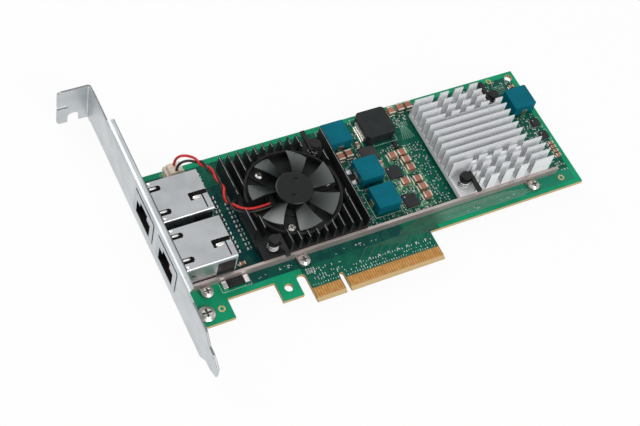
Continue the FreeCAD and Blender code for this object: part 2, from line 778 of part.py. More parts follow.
def port_housing(letter, centre):
    """Moulded housing inside a shell, with the plug's mouth and the latch channel above it."""
    body = port_form(f"Housing_{letter}", centre, "(port_skin + housing_gap)")
    mouth = rectangle((f"{centre} - mouth_width / 2", f"{centre} + mouth_width / 2"),
                      ("mouth_floor", "mouth_floor + mouth_height"))
    depth = "mouth_depth"
    mouth_end = "bracket_face - nose_proud + mouth_depth"
    pocket(body, outline(body, "YZ_Plane", mouth, mouth_end), depth)
    latch = rectangle((f"{centre} - latch_width / 2", f"{centre} + latch_width / 2"),
                      ("mouth_floor + mouth_height", "mouth_floor + mouth_height + latch_height"))
    pocket(body, outline(body, "YZ_Plane", latch, mouth_end), depth)
    relief_out = ("port_height - slot_depth", "port_height")
    nose_face = "bracket_face - nose_proud"
    reliefs = [box("slot_relief", (f"{nose_face} + slot_front", f"{nose_face} + slot_rear"),
                   (f"{centre} + {side} * slot_offset - slot_width / 2",
                    f"{centre} + {side} * slot_offset + slot_width / 2"), relief_out) for side in (-1, 1)]
    reliefs.append(box("window_relief", ("port_rear - window_reach", "port_rear - window_edge"),
                       (f"{centre} - window_left", f"{centre} - window_right"), relief_out))
    return node(cut(f"housing_cut_{letter}", body, reliefs), f"port_{letter}_housing")


def port_contacts(letter, centre):
    """Eight spring contacts that rise from the mouth's floor towards its back."""
    body = new_body(f"Contacts_{letter}")
    nose_face = "bracket_face - nose_proud"
    start = f"{nose_face} + contact_front"
    end = f"{nose_face} + mouth_depth"
    wire = [
        (start, "mouth_floor"), (f"{start} + contact_flat", "mouth_floor"),
        (end, "mouth_floor + contact_rise"), (end, "mouth_floor + contact_rise + contact_thick"),
        (f"{start} + contact_flat", "mouth_floor + contact_thick"), (start, "mouth_floor + contact_thick"),
    ]
    first = f"{centre} - (contact_count - 1) / 2 * contact_pitch - contact_wide / 2"
    first_wire = pad(body, outline(body, "XZ_Plane", wire, f"-({first})"), "contact_wide", reverse=True)
    repeat(body, first_wire, "Y_Axis", "contact_count", "contact_pitch")
    return node(body, f"port_{letter}_contacts")


# ---------------------------------------------------------------- heatsinks

SINK_BASE_TOP = "(sink_lift + sink_base)"
COOLER_BASE_TOP = "(cooler_lift + cooler_base)"
SINK_LEFT = "(sink_across - sink_size / 2)"
SINK_FRONT = f"({BAR_REAR} + sink_bar_gap)"
SINK_PITCH = "((sink_size - sink_fin) / (sink_fins - 1))"


def chip(name, label, centre, size, thick):
    """A square package with one corner cut off to mark its first pin."""
    body = new_body(name)
    across, up = centre
    left, right = f"{across} - {size} / 2", f"{across} + {size} / 2"
    low, high = f"{up} - {size} / 2", f"{up} + {size} / 2"
    points = [(left, low), (right, low), (right, high), (f"{left} + chip_corner", high),
              (left, f"{high} - chip_corner")]
    pad(body, outline(body, "XY_Plane", points), thick)
    return node(body, label)


def thermal_pad(label, centre, size, out):
    return node(centred_box(label + "_slab", centre, size, size, out), label)


def tapered_fin(plane, middle, thick, tip, out, start, length):
    """One extruded fin: a trapezium across its length, thinner at its tip, padded along it."""
    body = new_body("Fin")
    points = [(f"{middle} - {thick} / 2", out[0]), (f"{middle} + {thick} / 2", out[0]),
              (f"{middle} + {tip} / 2", out[1]), (f"{middle} - {tip} / 2", out[1])]
    pad(body, outline(body, plane, points, start), length)
    return body


def fan_heatsink():
    """Black extruded heatsink: thirteen fins, a round well for the fan, and pockets round its push pins."""
    above = (SINK_BASE_TOP, "sink_top + 1")
    solids = [centred_box("sink_plate", SINK, "sink_size", "sink_size", ("sink_lift", SINK_BASE_TOP))]
    for k in range(int(SIZES["sink_fins"])):
        middle = f"{SINK_LEFT} + {k} * {SINK_PITCH} + sink_fin / 2"
        solids.append(tapered_fin("XZ_Plane", middle, "sink_fin", "sink_fin_tip", (SINK_BASE_TOP, "sink_top"),
                                  f"-({SINK_FRONT} + sink_size)", "sink_size"))
    far = f"{SINK_FRONT} + sink_size + 1"
    (first_across, first_up), (second_across, second_up) = SINK_PINS
    tools = [
        cylinder("fan_well", "well_radius", SINK, above),
        box("corner_pocket", (f"{SINK_LEFT} - 1", f"{first_across} + pocket_across"),
            (f"{SINK_FRONT} - 1", f"{first_up} + pocket_up"), above),
        cylinder("round_pocket", "pocket_radius", SINK_PINS[1], above),
        box("pocket_channel", (f"{second_across} - channel_width / 2", f"{second_across} + channel_width / 2"),
            (second_up, far), above),
        box("wire_notch", (f"{SINK_LEFT} - 1", "sink_across - well_radius / 2"),
            (f"{SINK_UP} - wire_notch_low", f"{SINK_UP} + wire_notch_high"), above),
        box("cross_cut", ("sink_across - cross_cut_long / 2", "sink_across + cross_cut_long / 2"),
            (f"{SINK_UP} + cross_cut_up", f"{SINK_UP} + cross_cut_up + cross_cut_wide"), above),
    ]
    through = ("sink_lift - 1", f"{SINK_BASE_TOP} + 1")
    tools += [cylinder("pin_hole", "pin_stem + pin_gap", spot, through) for spot in SINK_PINS]
    tools += [cylinder("screw_hole", "fan_screw_radius + hole_slack / 2", spot, through) for spot in FAN_SCREWS]
    return node(cut("sink_machined", fuse("sink_extrusion", solids), tools), "fan_heatsink")


def aluminium_heatsink():
    """Bright heatsink: long fins on a stepped plate, cross-cut by a round saw, with two pin pockets."""
    body = new_body("CoolerPlate")
    front = COOLER_FRONT
    narrow_up = f"{front} + cooler_narrow_from"
    narrow_across = f"{COOLER_RIGHT} - cooler_narrow"
    plate = [
        (COOLER_LEFT, front), (COOLER_RIGHT, front), (COOLER_RIGHT, narrow_up),
        (narrow_across, f"{narrow_up} + cooler_corner"),
        (narrow_across, "cooler_rear"), (COOLER_LEFT, "cooler_rear"),
    ]
    pad(body, outline(body, "XY_Plane", plate, "cooler_lift"), "cooler_base")
    pitch = f"((cooler_rear - {front} - cooler_fin) / (cooler_rows - 1))"
    above = (COOLER_BASE_TOP, "cooler_top + 1")
    rows = []
    for k in range(int(SIZES["cooler_rows"])):
        middle = f"{front} + {k} * {pitch} + cooler_fin / 2"
        length = "cooler_long" if k < SIZES["saw_rows"] else "cooler_short"
        rows.append(tapered_fin("YZ_Plane", middle, "cooler_fin", "cooler_fin_tip",
                                (COOLER_BASE_TOP, "cooler_top"), COOLER_LEFT, length))
    pocket_side = f"{COOLER_PINS[0][0]} + wing_off + wing_wide + pocket_slack"
    tools = [
        box("front_pocket", (f"{COOLER_LEFT} - 1", pocket_side),
            (f"{front} - 1", f"{front} + pocket_c_tall"), above),
        box("rear_pocket", (f"{COOLER_STEP} - pocket_d_wide", f"{COOLER_STEP} + 1"),
            ("cooler_rear - pocket_d_tall", "cooler_rear + 1"), above),
    ]
    saw_out = f"{COOLER_BASE_TOP} + saw_radius - saw_inset / 4"
    for k in range(int(SIZES["saw_count"])):
        left = f"{COOLER_LEFT} + saw_first + {k} * saw_pitch - saw_width / 2"
        across = (left, f"{left} + saw_width")
        for up in (f"{front} - saw_inset", "cooler_rear + saw_inset"):
            tools.append(cylinder("saw_cut", "saw_radius", (up, saw_out), across, axis="x"))
    through = ("cooler_lift - 1", f"{COOLER_BASE_TOP} + 1")
    tools += [cylinder("pin_hole", "pin_stem + pin_gap", spot, through) for spot in COOLER_PINS]
    return node(cut("cooler_machined", fuse("cooler_solid", [body] + rows), tools), "aluminium_heatsink")


def push_pin(centre, side):
    """Nylon push pin: a stepped knob with a release wing on one side, a stem, and a split barb below."""
    across, up = centre
    cap_under = "pin_top - pin_cap"
    knob_under = "pin_top - pin_cap * 0.4"
    flange = cylinder("pin_flange", "pin_flange", centre, (cap_under, "pin_top - pin_cap * 0.65"))
    waist = cylinder("pin_waist", "pin_waist", centre, (cap_under, knob_under))
    knob = cylinder("pin_knob", "pin_knob", centre, (knob_under, "pin_top"))
    near_side = f"{across} + {side} * wing_off"
    far_side = f"{across} + {side} * (wing_off + wing_wide)"
    front = f"{up} - {side} * wing_near"
    rear = f"{up} + {side} * wing_far"
    wing = box("pin_wing", (near_side, far_side) if side > 0 else (far_side, near_side),
               (front, rear) if side > 0 else (rear, front), (cap_under, f"{cap_under} + wing_thick"))
    stem = cylinder("pin_stem", "pin_stem", centre, (f"{BOARD_UNDER} - pin_under / 3", cap_under))
    barb = cone("pin_barb", "pin_stem * 0.6", "pin_barb", centre,
                (f"{BOARD_UNDER} - pin_under", f"{BOARD_UNDER} - pin_under / 3"))
    slit_out = (f"{BOARD_UNDER} - pin_under - 1", BOARD_UNDER)
    slit = centred_box("pin_slit", centre, "pin_slit", "pin_barb * 3", slit_out)
    return cut("push_pin", fuse("pin_solid", [flange, waist, knob, wing, stem, barb]), [slit])


def pin_spring(centre, seat):
    """Compression spring round a pin's stem, between the heatsink's plate and the cap."""
    across, up = centre
    coil = doc.addObject("Part::Helix", "spring_path")
    bind(coil, "Radius", "spring_radius")
    bind(coil, "Height", f"pin_top - pin_cap - {seat} - 2 * spring_wire")
    bind(coil, "Pitch", f"(pin_top - pin_cap - {seat} - 2 * spring_wire) / spring_turns")
    place(coil, across, up, f"{seat} + spring_wire")
    section = doc.addObject("Part::RegularPolygon", "spring_section")
    section.Polygon = 6
    bind(section, "Circumradius", "spring_wire")
    section.Placement = Placement(Vector(), DIRECTIONS["y"])
    place(section, f"{across} + spring_radius", up, f"{seat} + spring_wire")
    wire = doc.addObject("Part::Sweep", "spring")
    wire.Sections = [section]
    wire.Spine = (coil, ["Edge1"])
    wire.Solid = True
    wire.Frenet = True
    return wire


def pins_and_springs(prefix, spots, seat):
    pins = [push_pin(spot, side) for side, spot in zip((1, -1), spots)]
    node(group(prefix + "_pin_set", pins), prefix + "_pins")
    node(group(prefix + "_spring_set", [pin_spring(spot, seat) for spot in spots]), prefix + "_springs")


# ---------------------------------------------------------------- fan

FAN_FLOOR_TOP = f"({SINK_BASE_TOP} + fan_floor)"
FAN_ANGLES = (3, 125, 243)
BEARING_RADIUS = "(shaft_radius + running_gap + bearing_wall)"
MAGNET_RADIUS = "(hub_radius - hub_wall - glue_gap)"


FAN_SCREWS = [around(SINK, "well_radius - fan_screw_inset", angle) for angle in FAN_ANGLES]


def ring(name, outer, inner, out):
    bore = cylinder(name + "_bore", inner, SINK, (f"{out[0]} - 1", f"{out[1]} + 1"))
    return cut(name, cylinder(name + "_disc", outer, SINK, out), [bore])


def fan_frame():
    """Fan frame: a thin wall round the blades, carried by three arms from a round floor."""
    wall = ring("fan_wall_ring", "well_radius - fan_gap", "well_radius - fan_gap - fan_wall",
                (SINK_BASE_TOP, "fan_rim"))
    floor_out = (SINK_BASE_TOP, FAN_FLOOR_TOP)
    solids = [wall, cylinder("fan_floor_disc", "fan_board_radius + fan_wall", SINK, floor_out)]
    for angle, spot in zip(FAN_ANGLES, FAN_SCREWS):
        arm = doc.addObject("Part::Box", "fan_arm")
        arm.Placement = Placement(Vector(), Rotation(Vector(0, 0, 1), angle))
        bind(arm, "Length", "well_radius - fan_gap - fan_wall / 2")
        bind(arm, "Width", "arm_width")
        bind(arm, "Height", "fan_floor")
        place(arm, *around(SINK, "arm_width / 2", angle - 90), SINK_BASE_TOP)
        solids += [arm, cylinder("fan_lug", "fan_lug", spot, floor_out)]
    drills = [cylinder("fan_drill", "fan_screw_radius + hole_slack", spot,
                       (f"{SINK_BASE_TOP} - 1", f"{FAN_FLOOR_TOP} + 1")) for spot in FAN_SCREWS]
    drills.append(box("lead_notch", (SINK_LEFT, f"sink_across - {BLADE_TIP}"),
                      (f"{SINK_UP} - lead_notch_low", f"{SINK_UP} + lead_notch_low / 3"),
                      (FAN_FLOOR_TOP, "fan_rim + 1")))
    return node(cut("fan_frame_cut", fuse("fan_frame_solid", solids), drills), "fan_frame")


def fan_screws():
    screws = [screw("fan_screw", spot, FAN_FLOOR_TOP, "sink_lift + glue_gap", "fan_cap", "fan_screw_radius")
              for spot in FAN_SCREWS]
    return node(group("fan_screw_set", screws), "fan_screws")


def fan_motor():
    """The motor's fixed pieces: sleeve bearing, its small board and the four-pole stator."""
    bearing = ring("bearing_tube", BEARING_RADIUS, "shaft_radius + running_gap", (FAN_FLOOR_TOP, "bearing_top"))
    node(bearing, "fan_bearing")
    board = ring("motor_board_ring", "fan_board_radius", f"{BEARING_RADIUS} + glue_gap",
                 (FAN_FLOOR_TOP, f"{FAN_FLOOR_TOP} + fan_board_thick"))
    node(board, "fan_motor_board")
    stator_radius = f"({MAGNET_RADIUS} - magnet_wall - stator_gap)"
    core = ring("stator_core", stator_radius, f"{BEARING_RADIUS} + glue_gap", ("stator_low", "stator_high"))
    through = ("stator_low - 1", "stator_high + 1")
    slots = []
    for angle in (0, 90, 180, 270):
        eye = around(SINK, f"({stator_radius} + {BEARING_RADIUS}) / 2", angle)
        slots.append(cylinder("winding_eye", "stator_slot * 1.6", eye, through))
        mouth = around(SINK, stator_radius, angle)
        sides = ("stator_slot * 4", "stator_slot")
        long, wide = sides if angle % 180 == 0 else sides[::-1]
        slots.append(centred_box("winding_mouth", mouth, long, wide, through))
    return node(cut("stator_slotted", core, slots), "fan_stator")


def blade_section(body, radius, chord, sweep):
    """A thin raked section of a blade, on a plane across the radius."""
    low, high = f"{sweep} - {chord} / 2", f"{sweep} + {chord} / 2"
    points = [(low, "blade_low"), (high, "blade_high - blade_thick"), (high, "blade_high"),
              (low, "blade_low + blade_thick")]
    return outline(body, "YZ_Plane", points, radius)


def fan_rotor():
    """Rotor: a cup-shaped hub and seven swept, raked blades trimmed to the tip circle."""
    body = new_body("Rotor")
    axis = next(item for item in body.Origin.OriginFeatures if item.Role == "Z_Axis")
    cup = [("0", "hub_top - hub_wall"), ("hub_radius - hub_wall", "hub_top - hub_wall"),
           ("hub_radius - hub_wall", "hub_bottom"), ("hub_radius", "hub_bottom"),
           ("hub_radius", "hub_top"), ("0", "hub_top")]
    hub = body.newObject("PartDesign::Revolution", "hub")
    hub.Profile = outline(body, "XZ_Plane", cup)
    hub.ReferenceAxis = (axis, [""])
    hub.Angle = 360
    soften(body, "Fillet", {"Radius": "hub_round"},
           lambda edge, middle: near(middle.z, "hub_top") and len(edge.Vertexes) == 1)
    root = blade_section(body, "hub_radius - hub_wall + glue_gap", "root_chord", "0")
    waist = blade_section(body, f"(hub_radius + {BLADE_TIP}) / 2", "waist_chord", "blade_sweep / 3")
    tip = blade_section(body, f"{BLADE_TIP} + blade_thick", "tip_chord", "blade_sweep")
    blade = body.newObject("PartDesign::AdditiveLoft", "blade")
    blade.Profile = root
    blade.Sections = [waist, tip]
    wheel = body.newObject("PartDesign::PolarPattern", "blades")
    wheel.Originals = [blade]
    wheel.Axis = (axis, [""])
    bind(wheel, "Occurrences", "blade_count")
    body.Tip = wheel
    body.Placement = Placement(Vector(), Rotation(Vector(0, 0, 1), SIZES["blade_turn"]))
    bind(body, "Placement.Rotation.Angle", "blade_turn")
    place(body, *SINK, "0")
    trimmed = doc.addObject("Part::Common", "rotor_trimmed")
    trimmed.Base = body
    trimmed.Tool = cylinder("tip_circle", BLADE_TIP, SINK, ("0", "hub_top + 1"))
    dimples = [cylinder("hub_dimple", "dimple_radius", around(SINK, "dimple_circle", angle),
                        ("hub_top - dimple_depth", "hub_top + 1")) for angle in (60, 240)]
    return node(cut("rotor_finished", trimmed, dimples), "fan_rotor")


def rotor_inner():
    """What turns inside the hub: the ring magnet and the shaft."""
    node(ring("magnet_ring", MAGNET_RADIUS, f"{MAGNET_RADIUS} - magnet_wall",
              ("stator_low + glue_gap * 8", "hub_top - hub_wall")), "fan_magnet")
    node(cylinder("shaft_rod", "shaft_radius", SINK, (f"{FAN_FLOOR_TOP} + stator_gap", "hub_top - hub_wall")),
         "fan_shaft")


# ---------------------------------------------------------------- power parts and small parts

COILS = {"a": ("y", COIL_A), "b": ("x", COIL_B), "c": ("x", COIL_C), "d": ("y", COIL_D)}


def coil_core(label, centre, size, height, corner):
    """A moulded inductor core with rounded upright edges, raised on its folded feet."""
    body = new_body("Core_" + label)
    across, up = centre
    sides = rectangle((f"{across} - {size} / 2", f"{across} + {size} / 2"),
                      (f"{up} - {size} / 2", f"{up} + {size} / 2"))
    pad(body, outline(body, "XY_Plane", sides, "foot_thick"), f"{height} - foot_thick")
    soften(body, "Fillet", {"Radius": corner}, lambda edge, middle: along(edge, "z"))
    return node(body, label)


def coil_feet(axis, centre, size, width):
    """Two folded strips, each under the core and up one side of it."""
    feet = []
    for side in (-1, 1):
        edge = f"{side} * {size} / 2"
        inner = f"{side} * ({size} / 2 - foot_under)"
        outer = f"{side} * ({size} / 2 + foot_thick)"
        order = (lambda pair: pair) if side > 0 else (lambda pair: pair[::-1])
        for (low, high), out in ((order((inner, outer)), ("0", "foot_thick")),
                                 (order((edge, outer)), ("foot_thick", "foot_rise"))):
            middle, aside = centre if axis == "x" else centre[::-1]
            lengthways = (f"{middle} + {low}", f"{middle} + {high}")
            sideways = (f"{aside} - {width} / 2", f"{aside} + {width} / 2")
            pair = (lengthways, sideways) if axis == "x" else (sideways, lengthways)
            feet.append(box("foot_strip", *pair, out))
    return [fuse("foot", feet[:2]), fuse("foot", feet[2:])]


def inductors():
    feet = []
    for letter, (axis, centre) in COILS.items():
        coil_core(f"inductor_{letter}", centre, "coil_size", "coil_height", "coil_round")
        feet += coil_feet(axis, centre, "coil_size", "coil_foot")
    node(group("coil_feet", feet), "inductor_terminals")
    coil_core("filter_choke", CHOKE, "choke_size", "choke_height", "choke_round")
    node(group("choke_feet", coil_feet("x", CHOKE, "choke_size", "choke_foot")), "choke_terminals")


def rows_of(name, seats, long, wide, tall, axis="x"):
    """Small rectangular parts on their seats, each long in X or in Y."""
    sizes = (long, wide) if axis == "x" else (wide, long)
    return [centred_box(name, seat, *sizes, ("0", tall)) for seat in seats]


def beside(centre, offsets):
    """Seats at small offsets from a larger part's centre."""
    return [(f"({centre[0]} + {across})", f"({centre[1]} + {up})") for across, up in offsets]


QUAD_B = (f"({COIL_B[0]} + coil_size / 2 + quad_gap + quad_size / 2 + 0.15)", f"({COIL_B[1]} - 2.7)")
QUAD_C = (f"({COIL_C[0]} + coil_size / 2 + quad_gap + quad_size / 2 - 0.05)", f"({COIL_C[1]} - 3.1)")
POWER_STAGE = (f"({CHOKE[0]} - choke_size / 2 + power_overhang - power_size / 2)", POWER_UP)
CERAMICS_ACROSS = beside(QUAD_B, [(2.6, 6.9), (6.8, 7.0), (6.9, 3.5), (6.9, -0.3)]) \
    + beside(QUAD_C, [(1.7, 8.0), (6.8, 7.5), (7.0, 3.8), (7.0, -0.2)])
CERAMICS_UP = beside((CHOKE[0], "board_top"), [(10.4, -3.1), (14.6, -2.7), (18.3, -2.7)]) \
    + beside(COIL_A, [(-1.6, -8.5), (2.0, -8.2)])
SMALL_ACROSS = beside(COIL_D, [(2.0, 8.3)]) + beside(("left_column", "column_start"), [(-0.7, -5.2)])
SMALL_UP = beside(QUAD_B, [(-3.0, 5.4)]) + beside(QUAD_C, [(-3.9, 6.9)]) + beside(CHOKE, [(-9.3, -4.7)])
QUADS = [QUAD_B, QUAD_C]
CLOCKS = beside(COIL_D, [(2.4, -10.6), (2.7, -16.9)])
TRANSISTOR = beside(CHOKE, [(4.8, -9.6)])[0]
SENSE = (f"({SINK_SIDE} + coil_b_gap - sense_gap - sense_wide / 2)", f"({COIL_B[1]} + 0.5)")


def column(across, start, count):
    return [(across, f"{start} + {k} * column_pitch") for k in range(int(SIZES[count]))]


def small_parts():
    """Ceramic capacitors, resistors, regulators and the fuse, each kind grouped in one node."""
    ceramics = rows_of("ceramic", CERAMICS_ACROSS, "cap_long", "cap_wide", "cap_tall")
    ceramics += rows_of("ceramic", CERAMICS_UP, "cap_long", "cap_wide", "cap_tall", "y")
    node(group("ceramics", ceramics), "ceramic_capacitors")
    small = rows_of("small", SMALL_ACROSS + column("edge_column", "edge_start", "edge_count"),
                    "small_cap_long", "small_cap_wide", "small_cap_tall")
    small += rows_of("small", SMALL_UP, "small_cap_long", "small_cap_wide", "small_cap_tall", "y")
    node(group("smalls", small), "small_capacitors")
    columns = column("left_column", "column_start", "left_count") \
        + column("right_column", "column_start", "right_count")
    node(group("resistors", rows_of("resistor", columns, "resistor_long", "resistor_wide", "resistor_tall")),
         "termination_resistors")
    node(group("quads", rows_of("quad", QUADS, "quad_size", "quad_size", "quad_tall")), "regulator_chips")
    power = rows_of("power", [POWER_STAGE], "power_size", "power_size", "quad_tall")[0]
    node(power, "power_stage_chip")
    node(group("clocks", rows_of("clock", CLOCKS, "clock_size", "clock_size", "quad_tall")), "clock_chips")
    node(rows_of("sot", [TRANSISTOR], "small_cap_wide", "cap_long", "small_cap_tall")[0], "transistor")
    node(centred_box("fuse_block", ("fuse_across", "fuse_up"), "fuse_long", "fuse_wide", ("0", "fuse_tall")),
         "input_fuse")
    node(centred_box("sense_block", SENSE, "sense_wide", "sense_long", ("0", "sense_tall")), "sense_resistor")


# ---------------------------------------------------------------- fan connector and leads

HEADER = ("(header_left + header_long / 2)",
          f"({PORT_A} + port_width / 2 + header_port_gap + header_wide / 2)")
HEADER_PINS = [(HEADER[0], f"({HEADER[1]} + {side} * pin_pitch / 2)") for side in (1, -1)]


def fan_connector():
    """Open-topped header on the board, its two pins, and the plug that stands in it."""
    outer = centred_box("header_block", HEADER, "header_long", "header_wide", ("0", "header_tall"))
    walls = "- 2 * header_wall"
    cavity = centred_box("header_cavity", HEADER, f"header_long {walls}", f"header_wide {walls}",
                         ("header_floor", "header_tall + 1"))
    passages = [centred_box("pin_passage", spot, "pin_square", "pin_square", ("-1", "header_tall"))
                for spot in HEADER_PINS]
    node(cut("header_moulding", outer, [cavity] + passages), "fan_header")
    pins = [centred_box("contact_pin", spot, "pin_square", "pin_square", ("0", "header_tall - header_wall"))
            for spot in HEADER_PINS]
    node(group("contact_pins", pins), "header_pins")
    inner = "- 2 * (header_wall + plug_gap)"
    block = centred_box("plug_block", HEADER, f"header_long {inner}", f"header_wide {inner}",
                        ("header_floor + plug_gap", "plug_top"))
    sockets = [centred_box("plug_socket", spot, "pin_square + 2 * plug_gap", "pin_square + 2 * plug_gap",
                           ("0", "header_tall")) for spot in HEADER_PINS]
    node(cut("plug_moulding", block, sockets), "fan_plug")


def value(text):
    return sheet.evalExpression(named(text))


def rounded_route(points):
    """A path of straight runs joined by tangent arcs, each arc as large as its two runs allow."""
    edges = []
    radii = []
    last = points[0]
    for before, corner, after in zip(points, points[1:], points[2:]):
        back, onward = (before - corner), (after - corner)
        half_turn = (math.pi - back.getAngle(onward)) / 2
        reach = 0.45 * min(back.Length, onward.Length)
        radii.append(reach / math.tan(half_turn))
        start = corner + back.normalize() * reach
        end = corner + onward.normalize() * reach
        centre_line = (back + onward).normalize()
        centre = corner + centre_line * (radii[-1] / math.cos(half_turn))
        top = centre - centre_line * radii[-1]
        edges.append(Part.makeLine(last, start))
        edges.append(Part.Arc(start, top, end).toShape())
        last = end
    edges.append(Part.makeLine(last, points[-1]))
    return Part.Wire(edges), radii


def fan_lead(label, plug_pin, middle, end):
    """One insulated lead, from the plug's top over the fins to the motor's board."""
    across, up = plug_pin
    start = Vector(value(across), value(up), value("plug_top"))
    points = [start, start + Vector(0, 0, value("lead_rise"))] + [Vector(*spot) for spot in middle] + [end]
    path, radii = rounded_route(points)
    radius = value("lead_radius")
    heading = points[1] - points[0]
    section = Part.Wire(Part.makeCircle(radius, start, heading))
    tube = path.makePipeShell([section], True, True)
    expected = math.pi * radius ** 2 * path.Length
    print(f"{label}: length {path.Length:.1f} mm, volume ratio {tube.Volume / expected:.4f},",
          "arc radii", " ".join(f"{bend:.1f}" for bend in radii))
    piece = doc.addObject("Part::Feature", label + "_tube")
    piece.Shape = tube
    piece.Placement = Placement()
    return node(piece, label)


RED_ROUTE = [(-38.4, 64.2, 14.6), (-33.9, 61.3, 13.6), (-30.0, 57.0, 10.9), (-28.2, 51.6, 9.2),
             (-28.6, 46.6, 8.9), (-27.7, 42.0, 8.4), (-23.9, 39.9, 6.7), (-19.0, 39.7, 5.8)]
BLACK_ROUTE = [(-37.6, 61.9, 14.0), (-33.6, 60.8, 11.7), (-30.6, 56.9, 9.5), (-29.9, 51.9, 8.0),
               (-30.2, 46.6, 7.9), (-28.8, 41.6, 7.2), (-24.3, 38.9, 5.9), (-19.2, 38.5, 5.7)]


def fan_leads():
    height = value(FAN_FLOOR_TOP) + value("lead_radius") + value("glue_gap")
    reach = value("fan_board_radius") + value("lead_end_gap")
    for label, pin, route, angle in (("fan_lead_red", HEADER_PINS[0], RED_ROUTE, 185.0),
                                     ("fan_lead_black", HEADER_PINS[1], BLACK_ROUTE, 193.0)):
        spot = around(SINK, reach, angle)
        fan_lead(label, pin, route, Vector(value(spot[0]), value(spot[1]), height))


# ---------------------------------------------------------------- the card

circuit_board()
edge_contacts()
bracket()
bracket_screw()
stiffener()
for letter, centre in PORTS.items():
    port_shell(letter, centre)
    port_housing(letter, centre)
    port_contacts(letter, centre)
chip("Controller", "controller_chip", SINK, "chip_size", "chip_thick")
thermal_pad("controller_pad", SINK, "chip_size", ("chip_thick", "sink_lift"))
fan_heatsink()
pins_and_springs("fan_sink", SINK_PINS, SINK_BASE_TOP)
fan_frame()
fan_screws()
fan_motor()
fan_rotor()
rotor_inner()
COOLER = (f"({COOLER_LEFT} + {COOLER_STEP}) / 2", f"({COOLER_FRONT} + cooler_rear) / 2")
chip("Bridge", "bridge_chip", COOLER, "bridge_size", "bridge_thick")
thermal_pad("bridge_pad", COOLER, "bridge_size", ("bridge_thick", "cooler_lift"))
aluminium_heatsink()
pins_and_springs("cooler", COOLER_PINS, COOLER_BASE_TOP)
inductors()
small_parts()
fan_connector()
fan_leads()

doc.recompute()
for item in doc.Objects:
    if "Invalid" in item.State or "Error" in item.State:
        raise RuntimeError(f"{item.Name} did not build: {item.getStatusString()}")
for piece in NODES:
    if piece.Shape.isNull() or not piece.Shape.isValid():
        raise RuntimeError(f"{piece.Label} has no valid shape")

os.makedirs("parts", exist_ok=True)
for piece in NODES:
    piece.Shape.exportStep(f"parts/{piece.Label}.step")
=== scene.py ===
# %% [markdown]
# # A network interface card, dressed piece by piece
#
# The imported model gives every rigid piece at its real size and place. This script gives those pieces
# their finish, eases the sharp CAD edges that would never catch the light, and adds what is too fine
# for the CAD: solder, printed outlines, copper runs, plated holes and the smallest parts.

# %% Load the frame
import math
import random

import bmesh
import bpy
from mathutils import Matrix, Vector


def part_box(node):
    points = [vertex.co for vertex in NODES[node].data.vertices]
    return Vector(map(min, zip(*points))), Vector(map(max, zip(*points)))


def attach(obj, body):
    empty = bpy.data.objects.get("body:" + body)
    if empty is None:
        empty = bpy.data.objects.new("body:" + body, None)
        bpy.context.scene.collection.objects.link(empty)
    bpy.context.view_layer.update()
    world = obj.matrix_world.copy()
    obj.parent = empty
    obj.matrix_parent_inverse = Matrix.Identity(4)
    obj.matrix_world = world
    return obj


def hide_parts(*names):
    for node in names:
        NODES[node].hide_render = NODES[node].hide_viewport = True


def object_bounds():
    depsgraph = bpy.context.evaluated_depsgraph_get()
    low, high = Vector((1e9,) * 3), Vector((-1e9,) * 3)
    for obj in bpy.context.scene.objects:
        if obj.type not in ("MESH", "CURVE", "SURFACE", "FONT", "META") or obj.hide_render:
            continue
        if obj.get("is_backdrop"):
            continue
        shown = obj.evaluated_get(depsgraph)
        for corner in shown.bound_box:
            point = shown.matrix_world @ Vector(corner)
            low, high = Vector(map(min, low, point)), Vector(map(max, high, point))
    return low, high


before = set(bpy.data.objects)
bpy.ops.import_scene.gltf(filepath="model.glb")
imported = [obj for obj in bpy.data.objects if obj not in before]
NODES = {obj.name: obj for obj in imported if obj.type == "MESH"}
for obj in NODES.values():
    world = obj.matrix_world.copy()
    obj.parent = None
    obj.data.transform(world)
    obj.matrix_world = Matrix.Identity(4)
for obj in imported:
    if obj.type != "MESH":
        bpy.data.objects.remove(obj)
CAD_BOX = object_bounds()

MM = 0.001
CARD = "card"
print("nodes in the frame:", len(NODES))

# %% [markdown]
# ## Camera, light and floor
#
# The camera and the light come first, because every finish is judged under them. The long lens stands to
# the card's lower left and is rolled a little. The light is plain: the world is a white tent, a large
# soft box stands behind the card, where the curved fan blades pick it up, and a second one stands in
# front. Together they light a level face with a strength near 1, so a colour renders about as written.

# %% Camera
AZIMUTH = math.radians(-40.62)
ELEVATION = math.radians(55.40)
ROLL = math.radians(17.72)
DISTANCE = 493.08
AIM = Vector((3.92, 33.06, 0.0))
LENS = 75.78
SENSOR_WIDTH = 36.0


def into_scene(name, data):
    """A new object that shows its data in the scene."""
    thing = bpy.data.objects.new(name, data)
    bpy.context.scene.collection.objects.link(thing)
    return thing


def place_camera():
    back = Vector((math.sin(AZIMUTH) * math.cos(ELEVATION),
                   -math.cos(AZIMUTH) * math.cos(ELEVATION), math.sin(ELEVATION)))
    level = Vector((math.cos(AZIMUTH), math.sin(AZIMUTH), 0))
    rise = back.cross(level)
    right = math.cos(ROLL) * level + math.sin(ROLL) * rise
    up = math.cos(ROLL) * rise - math.sin(ROLL) * level
    spot = AIM + back * DISTANCE
    data = bpy.data.cameras.new("camera")
    data.lens = LENS
    data.sensor_width = SENSOR_WIDTH
    data.clip_start = 0.01
    camera = into_scene("camera", data)
    camera.matrix_world = Matrix.Translation(spot * MM) @ Matrix((right, up, back)).transposed().to_4x4()
    bpy.context.scene.camera = camera
    print("camera at, mm:", [round(v, 1) for v in spot])


place_camera()
bpy.context.scene.view_settings.view_transform = "Standard"

# %% [markdown]
# ## Shader arithmetic
#
# A pattern is easier to read as a formula than as a page of nodes. `Shade` wraps one output socket, and
# the usual operators add the Math nodes; `add_node` makes every other node from its type, its settings
# and its sockets. `Finish` is one material: it hands out its coordinates in millimetres and feeds the
# surface.

